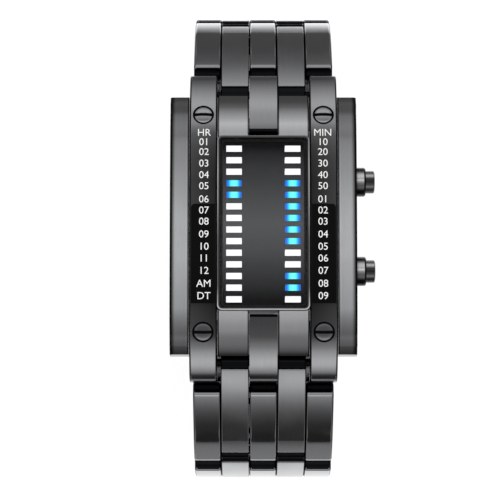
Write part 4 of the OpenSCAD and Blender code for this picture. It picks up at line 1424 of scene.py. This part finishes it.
@dataclass
class Scales:
    """Printed scales on both rails, with a glossy black inlay under their lower halves that paints a dark
    reflection.
    """

    top: CaseTop = field(default_factory=CaseTop)
    # Height of the capitals, and its share of the lettering's size
    height: float = 1.4
    capital: float = 0.73
    # Rows as on the dial, from the heading down, as distances towards 12 o'clock
    rows: tuple[float, ...] = (17.0, 15.2, 13.3, 11.1, 8.9, 6.8, 4.3, 2.2, 0.1, -2.3, -4.6, -6.8, -9.1, -11.5,
                               -13.8)
    hours: tuple[str, ...] = ("HR", "01", "02", "03", "04", "05", "06", "07", "08", "09", "10", "11", "12",
                              "AM", "DT")
    minutes: tuple[str, ...] = ("MIN", "10", "20", "30", "40", "50", "01", "02", "03", "04", "05", "06", "07",
                                "08", "09")
    # Thickness of the ink, its lift over the rail, and how far the words stand inward of its middle
    ink: float = 0.03
    lift: float = 0.035
    inward: float = 0.15
    # The black inlay's two ends, its rise and depth, its distance from the rail's sides, and its one corner
    dark_reflection_span: tuple[float, float] = (-15.2, 3.4)
    rise: float = 0.03
    depth: float = 0.2
    inset: float = 0.36
    corner: float = 0.7

    def word(self, text: str, x: float, y: float) -> bpy.types.Object:
        """One printed word, made a mesh and laid on the rail's surface.

        Args:
            text: The word or number.
            x: Its middle across the watch.
            y: Its middle towards 12 o'clock.

        Returns:
            The word as a mesh.
        """
        bpy.ops.object.select_all(action="DESELECT")
        bpy.ops.object.text_add(location=(0, 0, 0))
        word = bpy.context.object
        word.data.body = text
        word.data.align_x, word.data.align_y = "CENTER", "CENTER"
        word.data.size = self.height / self.capital * MM
        word.data.extrude = self.ink / 2 * MM
        word.data.resolution_u = 4
        bpy.ops.object.convert(target="MESH")
        word = bpy.context.object
        low = min(v.co.y for v in word.data.vertices)
        high = max(v.co.y for v in word.data.vertices)
        for vertex in word.data.vertices:
            along = vertex.co.y - (low + high) / 2 + y * MM
            lift = self.top.surface(along / MM) + self.ink / 2 + self.lift
            vertex.co = (vertex.co.x + x * MM, along, vertex.co.z + lift * MM)
        return word

    def panel(self, name: str, x0: float, x1: float, outward: int) -> bpy.types.Object:
        """Thin glossy black inlay along a rail, a painted dark reflection, with its upper outer corner
        rounded.

        Args:
            name: Name of the piece.
            x0: Its first side.
            x1: Its second side.
            outward: 1 on the right rail and -1 on the left.

        Returns:
            The inlay.
        """
        low, high = self.dark_reflection_span
        ys = [low + (high - low) * i / 20 for i in range(21)]
        outline = [(y, self.top.surface(y) + self.rise) for y in ys]
        outline += [(y, self.top.surface(y) - self.depth) for y in reversed(ys)]
        panel = prism(name, outline, x0, x1)
        corner = x1 if outward > 0 else x0
        make_active(panel)
        bpy.ops.object.mode_set(mode="EDIT")
        bpy.ops.mesh.select_all(action="DESELECT")
        bpy.ops.object.mode_set(mode="OBJECT")
        for edge in panel.data.edges:
            ends = [panel.data.vertices[i].co / MM for i in edge.vertices]
            edge.select = all(abs(e.x - corner) < 0.01 and abs(e.y - high) < 0.01 for e in ends)
        bpy.ops.object.mode_set(mode="EDIT")
        bpy.ops.mesh.bevel(offset=self.corner * MM, segments=6, affect="EDGES")
        bpy.ops.object.mode_set(mode="OBJECT")
        bevel(panel, 0.02, 1)
        smooth(panel)
        return panel

    def build(self) -> None:
        """Prints the scales."""
        rail = Span.of("rail_right")
        middle = (rail.low.x + rail.high.x) / 2 - self.inward
        for name, words, side in (("hour_scale", self.hours, -1), ("minute_scale", self.minutes, 1)):
            made = [self.word(word, side * middle, y) for word, y in zip(words, self.rows)]
            fit(joined(name, made), "case", Finish.INK, "led")
        inner, outer = rail.low.x + self.inset, rail.high.x - self.inset
        fit(self.panel("dark_reflection_inlay_right", inner, outer, 1), "case", Finish.LACQUER, "black_mask")
        fit(self.panel("dark_reflection_inlay_left", -outer, -inner, -1), "case", Finish.LACQUER, "black_mask")


# Pushers


@dataclass
class Pushers:
    """Two round pushers in their collars, and their return springs."""

    # How far the caps reach into the case, radii of a stem and of its clip, and where the clip sits
    sunk: float = 0.5
    stem: float = 0.7
    clip: float = 1.15
    clip_x: tuple[float, float] = (11.35, 11.65)
    # Radii of a collar's bore and of the part of it inside the case, and its chamfer
    bore: float = 2.18
    neck: float = 2.58
    chamfer: tuple[float, float] = (0.3, 0.25)

    def lay(self, piece: bpy.types.Object, node: str) -> None:
        """Turns a piece to point to the right, moves it onto a pusher's axis and shades it.

        Args:
            piece: Turned piece.
            node: CAD node of the pusher.
        """
        box = Span.of(node)
        y, z = (box.high.y + box.low.y) / 2, (box.high.z + box.low.z) / 2
        settle(piece, Matrix.Translation((0, y * MM, z * MM)) @ Matrix.Rotation(math.pi / 2, 4, "Y"))
        smooth(piece)

    def spring(self, node: str, joint: str) -> None:
        """Return spring, a smoothed copy of its CAD node with its own mesh.

        Args:
            node: CAD node of the spring.
            joint: Slide of its pusher.
        """
        slide = next(j for j in frame["joints"] if j["name"] == joint)
        seat = slide["deforming_nodes"][0]["fixed_end_x_m"]
        length = Span.of(node).high.x * MM - seat
        spring = node_copy(node, f"{node}_coil")
        fit(spring, "case", Finish.GROUND, "steel", node)
        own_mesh(spring)

    def cap(self, node: str) -> bpy.types.Object:
        """Cap, stem and clip of one pusher, turned as one.

        Args:
            node: CAD node of the pusher.

        Returns:
            The cap.
        """
        box = Span.of(node)
        radius, face, end = (box.high.z - box.low.z) / 2, box.high.x, box.low.x
        inner = Span.of("case_body").high.x - self.sunk
        low, high = self.clip_x
        crown = [(0, face), (radius * 0.5, face - 0.01), (radius - 0.35, face - 0.05),
                 (radius - 0.1, face - 0.16), (radius, face - 0.36)]
        shaft = [(radius, inner), (self.stem, inner), (self.stem, high), (self.clip, high), (self.clip, low),
                 (self.stem, low), (self.stem, end + 0.1), (self.stem - 0.1, end), (0, end)]
        piece = turned(f"{node}_cap", crown + shaft)
        bevel(piece, 0.06, 2, 30)
        self.lay(piece, node)
        for surface in piece.data.polygons:
            surface.material_index = int(surface.normal.x > 0.8)
        return piece

    def collar(self, name: str, node: str) -> bpy.types.Object:
        """Collar round one pusher, with painted shade inside its chamfered end.

        Args:
            name: Name of the collar.
            node: CAD node of the pusher.

        Returns:
            The collar.
        """
        tubes, side = Span.of("pusher_tubes"), Span.of("case_body").high.x
        radius, end = (tubes.high.z - tubes.low.z) / 2, tubes.high.x
        deep, wide = self.chamfer
        piece = turned(name, [(self.bore, tubes.low.x), (self.neck, tubes.low.x), (self.neck, side),
                              (radius, side), (radius, end - deep), (radius - wide, end), (self.bore, end)])
        bevel(piece, 0.1, 3, 30)
        self.lay(piece, node)
        for surface in piece.data.polygons:
            # Painted shade on the chamfered end; the flat end face stays polished
            at_end = surface.center.x / MM > end - 0.34
            surface.material_index = 2 if surface.normal.x > 0.9 else int(at_end)
        return piece

    def build(self) -> None:
        """Models the pushers."""
        self.spring("spring_upper", "pusher_upper_slide")
        self.spring("spring_lower", "pusher_lower_slide")
        for node in ("pusher_upper", "pusher_lower"):
            fit(self.cap(node), node, (Finish.CAP, Finish.POLISHED), "dark_steel", node)
        for name, node in (("collar_upper", "pusher_upper"), ("collar_lower", "pusher_lower")):
            finishes = (Finish.COLLAR, Finish.RECESS, Finish.POLISHED)
            fit(self.collar(name, node), "case", finishes, "dark_steel", "pusher_tubes")


# Clasp and hidden pieces


@dataclass
class Clasp:
    """Folding clasp: its cover and two blades."""

    def build(self) -> None:
        """Models the clasp."""
        for node, name, body, finish, slot in (
                ("clasp_cover", "clasp_cover_shell", "clasp_cover", Finish.SATIN, "dark_steel"),
                ("clasp_base_blade", "wrist_blade", "clasp_base", Finish.BRUSHED, "steel"),
                ("clasp_mid_blade", "middle_blade", "clasp_mid", Finish.BRUSHED, "steel")):
            fit(node_copy(node, name, 0.1), body, finish, slot, node)


@dataclass
class CarriedOver:
    """CAD nodes that keep their own mesh and get a finish."""

    finishes: dict[str, Finish] = field(default_factory=lambda: {
        "glass_gasket": Finish.RUBBER, "circuit_board": Finish.BOARD, "driver_chip": Finish.EPOXY,
        "quartz_can": Finish.GROUND, "switch_contacts": Finish.GILT, "movement_holder": Finish.NYLON,
        "battery": Finish.BRUSHED, "battery_clip": Finish.GROUND, "back_gasket": Finish.RUBBER,
        "pusher_seals": Finish.RUBBER,
    })

    def dress(self) -> None:
        """Gives every CAD node a finish, for where it shows."""
        for name, node in frame["nodes"].items():
            # Pins show only in the seams between links, so they get painted shade
            hidden = Finish.RECESS if name.endswith("_pins") else Finish.GROUND
            finish = self.finishes.get(name, hidden).get()
            node.data.materials.clear()
            node.data.materials.append(finish)


# Studio


@dataclass
class Studio:
    """Clear floor over a white world, tent of strips, soft lamps and the camera of the photograph."""

    # The camera's place in millimetres, its tilt in degrees, its lens and the width of its sensor
    camera: tuple[float, float, float] = (-2.51, -67.06, 456.51)
    tilt: float = 7.9
    lens: float = 174.2
    sensor: float = 36.0
    # Brightness of the tent's left and right, at the horizon and overhead
    horizon: float = 0.28
    overhead: float = 0.6
    # Brightness of the tent by the angle from straight up towards 12 o'clock
    strips: tuple[Point, ...] = (
        (-100, 0.035), (-87, 0.05), (-82, 0.09), (-78, 0.14), (-73.5, 0.24), (-69, 0.4), (-65, 0.62),
        (-61, 0.95), (-56, 1.0), (-49, 0.75), (-42, 0.48), (-34, 0.33), (-20, 0.38), (-8, 0.5), (0, 0.61),
        (4, 1.02), (6, 1.1), (9, 1.0), (13, 0.71), (17, 0.41), (21.5, 0.34), (27.5, 0.45), (33.5, 0.6),
        (45, 0.66), (52, 0.86), (58, 0.85), (65, 0.68), (72.5, 0.5), (77, 0.38), (81.5, 0.25), (88, 0.16),
        (100, 0.125))
    # How far a direction points to the side, from 0 to 1, where the strips fade into the plain sides
    strip_fade: Point = (0.3, 0.6)
    # Brightness of the floor in polished faces, by the distance towards 12 o'clock in millimetres
    bands: tuple[Point, ...] = ((-150, 0.03), (-140, 0.33), (-84, 0.4), (-76, 1.15), (56, 1.15), (62, 2.0),
                                (74, 1.7), (84, 0.8), (92, 0.3), (104, 0.14), (120, 0.125))
    # The bands are given up to this far along the watch, and fade between these distances to its sides
    band_reach: float = 200.0
    band_fade: Point = (45.0, 75.0)

    def tent(self) -> None:
        """Sphere of dark and bright strips that only polished faces see."""
        bpy.ops.object.select_all(action="DESELECT")
        bpy.ops.mesh.primitive_uv_sphere_add(segments=64, ring_count=32, radius=1.0)
        tent = bpy.context.object
        tent.name = "studio_tent"
        material, tree, place = blank("studio_tent_strips")
        way = add_node(tree, "ShaderNodeVectorMath", {"operation": "NORMALIZE"}, {0: place})
        split = add_node(tree, "ShaderNodeSeparateXYZ", links={"Vector": way})
        angle = add_node(tree, "ShaderNodeMath", {"operation": "ARCTAN2"},
                         {0: split.outputs["Y"], 1: split.outputs["Z"]})
        share = add_node(tree, "ShaderNodeMapRange", {"From Min": -math.pi, "From Max": math.pi},
                         {"Value": angle})
        brightest = max(level for _, level in self.strips)
        stops = [((degrees + 180) / 360, grey(level / brightest)) for degrees, level in self.strips]
        ramp = add_node(tree, "ShaderNodeValToRGB", {"stops": stops}, {"Fac": share})
        strips = add_node(tree, "ShaderNodeEmission", {"Strength": brightest}, {"Color": ramp})
        # To the left and right the tent is plain: brighter overhead than at the horizon
        height = add_node(tree, "ShaderNodeMapRange",
                          {"From Min": 0.0, "From Max": 0.8, "To Min": self.horizon, "To Max": self.overhead},
                          {"Value": split.outputs["Z"]})
        plain = add_node(tree, "ShaderNodeEmission", {"Color": grey(1.0)}, {"Strength": height})
        side = add_node(tree, "ShaderNodeMath", {"operation": "ABSOLUTE"}, {0: split.outputs["X"]})
        near, far = self.strip_fade
        fade = add_node(tree, "ShaderNodeMapRange", {"From Min": near, "From Max": far}, {"Value": side})
        mix = add_node(tree, "ShaderNodeMixShader", links={"Fac": fade, 1: strips, 2: plain})
        add_node(tree, "ShaderNodeOutputMaterial", links={"Surface": mix})
        tent.data.materials.append(material)
        tent.visible_camera = False
        tent.visible_diffuse = False
        tent.visible_transmission = False
        tent.visible_shadow = False

    def lay_floor(self) -> None:
        """Clear sheet over white with a faint shadow; polished faces see bright and dark bands on it."""
        bpy.ops.object.select_all(action="DESELECT")
        # It is a little smaller than the tent, and lies 0.1 mm under the watch
        bpy.ops.mesh.primitive_circle_add(vertices=96, radius=0.95, fill_type="NGON",
                                          location=(0, 0, CAD_BOX[0].z - 0.1 * MM))
        floor = bpy.context.object
        floor.name = "studio_floor"
        material, tree, place = blank("clear_sheet_over_white_sweep")
        path = add_node(tree, "ShaderNodeLightPath")
        seen = add_node(tree, "ShaderNodeMath", {"operation": "ADD", "use_clamp": True},
                        {0: path.outputs["Is Camera Ray"], 1: path.outputs["Is Transmission Ray"]})
        paper = add_node(tree, "ShaderNodeBsdfDiffuse", {"Color": grey(0.8)})
        shade = add_node(tree, "ShaderNodeBsdfDiffuse", {"Color": grey(0.16)})
        clear = add_node(tree, "ShaderNodeBsdfTransparent", {"Color": grey(0.9)})
        white = add_node(tree, "ShaderNodeAddShader", links={0: clear, 1: shade})
        plain = add_node(tree, "ShaderNodeMixShader", links={"Fac": seen, 1: paper, 2: white})
        split = add_node(tree, "ShaderNodeSeparateXYZ", links={"Vector": place})
        reach = self.band_reach
        along = add_node(tree, "ShaderNodeMapRange", {"From Min": -reach * MM, "From Max": reach * MM},
                         {"Value": split.outputs["Y"]})
        brightest = max(level for _, level in self.bands)
        stops = [((y + reach) / (2 * reach), grey(level / brightest)) for y, level in self.bands]
        band = add_node(tree, "ShaderNodeValToRGB", {"stops": stops}, {"Fac": along})
        side = add_node(tree, "ShaderNodeMath", {"operation": "ABSOLUTE"}, {0: split.outputs["X"]})
        bands = add_node(tree, "ShaderNodeEmission", {"Strength": brightest}, {"Color": band})
        sweep = add_node(tree, "ShaderNodeEmission", {"Color": grey(1.0), "Strength": self.horizon})
        near, far = self.band_fade
        fade = add_node(tree, "ShaderNodeMapRange", {"From Min": near * MM, "From Max": far * MM},
                        {"Value": side})
        mirrored = add_node(tree, "ShaderNodeMixShader", links={"Fac": fade, 1: bands, 2: sweep})
        mix = add_node(tree, "ShaderNodeMixShader",
                       links={"Fac": path.outputs["Is Glossy Ray"], 1: plain, 2: mirrored})
        # The lamps reach what an open bracelet holds under the sheet
        open_air = add_node(tree, "ShaderNodeBsdfTransparent", {"Color": grey(1.0)})
        lit = add_node(tree, "ShaderNodeMixShader",
                       links={"Fac": path.outputs["Is Shadow Ray"], 1: mix, 2: open_air})
        add_node(tree, "ShaderNodeOutputMaterial", links={"Surface": lit})
        floor.data.materials.append(material)
        settle(floor)

    def light(self) -> None:
        """Plain soft light for matt faces, and a white world behind everything."""
        world = bpy.data.worlds.new("studio_world")
        bpy.context.scene.world = world
        world.use_nodes = True
        tree = world.node_tree
        tree.nodes.clear()
        path = add_node(tree, "ShaderNodeLightPath")
        seen = add_node(tree, "ShaderNodeMath", {"operation": "ADD"},
                        {0: path.outputs["Is Camera Ray"], 1: path.outputs["Is Glossy Ray"]})
        seen = add_node(tree, "ShaderNodeMath", {"operation": "ADD", "use_clamp": True},
                        {0: seen, 1: path.outputs["Is Transmission Ray"]})
        white = add_node(tree, "ShaderNodeBackground", {"Color": grey(1.0), "Strength": 1.0})
        soft = add_node(tree, "ShaderNodeBackground", {"Color": grey(1.0), "Strength": 0.75})
        mix = add_node(tree, "ShaderNodeMixShader", links={"Fac": seen, 1: soft, 2: white})
        add_node(tree, "ShaderNodeOutputWorld", links={"Surface": mix})
        for name, place, size, power in (("key_softbox", (0.25, 0.15, 0.75), 0.5, 1.6),
                                         ("fill_softbox", (-0.45, -0.3, 0.55), 0.5, 0.7)):
            bpy.ops.object.select_all(action="DESELECT")
            bpy.ops.object.light_add(type="AREA", location=place)
            lamp = bpy.context.object
            lamp.name = name
            lamp.data.size = size
            lamp.data.energy = power
            lamp.rotation_euler = Vector(place).to_track_quat("Z", "Y").to_euler()
            lamp.visible_glossy = False
            lamp.visible_transmission = False

    def aim(self) -> None:
        """Sets the camera where the photograph was taken from."""
        bpy.ops.object.select_all(action="DESELECT")
        bpy.ops.object.camera_add(location=[c * MM for c in self.camera],
                                  rotation=(math.radians(self.tilt), 0, 0))
        camera = bpy.context.object
        camera.data.lens = self.lens
        camera.data.sensor_width = self.sensor
        camera.data.clip_start, camera.data.clip_end = 0.01, 10
        bpy.context.scene.camera = camera

    def build(self) -> None:
        """Sets the studio up."""
        self.tent()
        self.lay_floor()
        self.light()
        self.aim()
        bpy.context.scene.view_settings.view_transform = "Standard"


def main() -> None:
    """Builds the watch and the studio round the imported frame."""
    logging.basicConfig(level=logging.INFO, format="%(name)s: %(message)s")
    CarriedOver().dress()
    Bracelet().build()
    Case().build()
    Display().build()
    Scales().build()
    Pushers().build()
    Clasp().build()
    Studio().build()


if __name__ == "__main__":
    main()
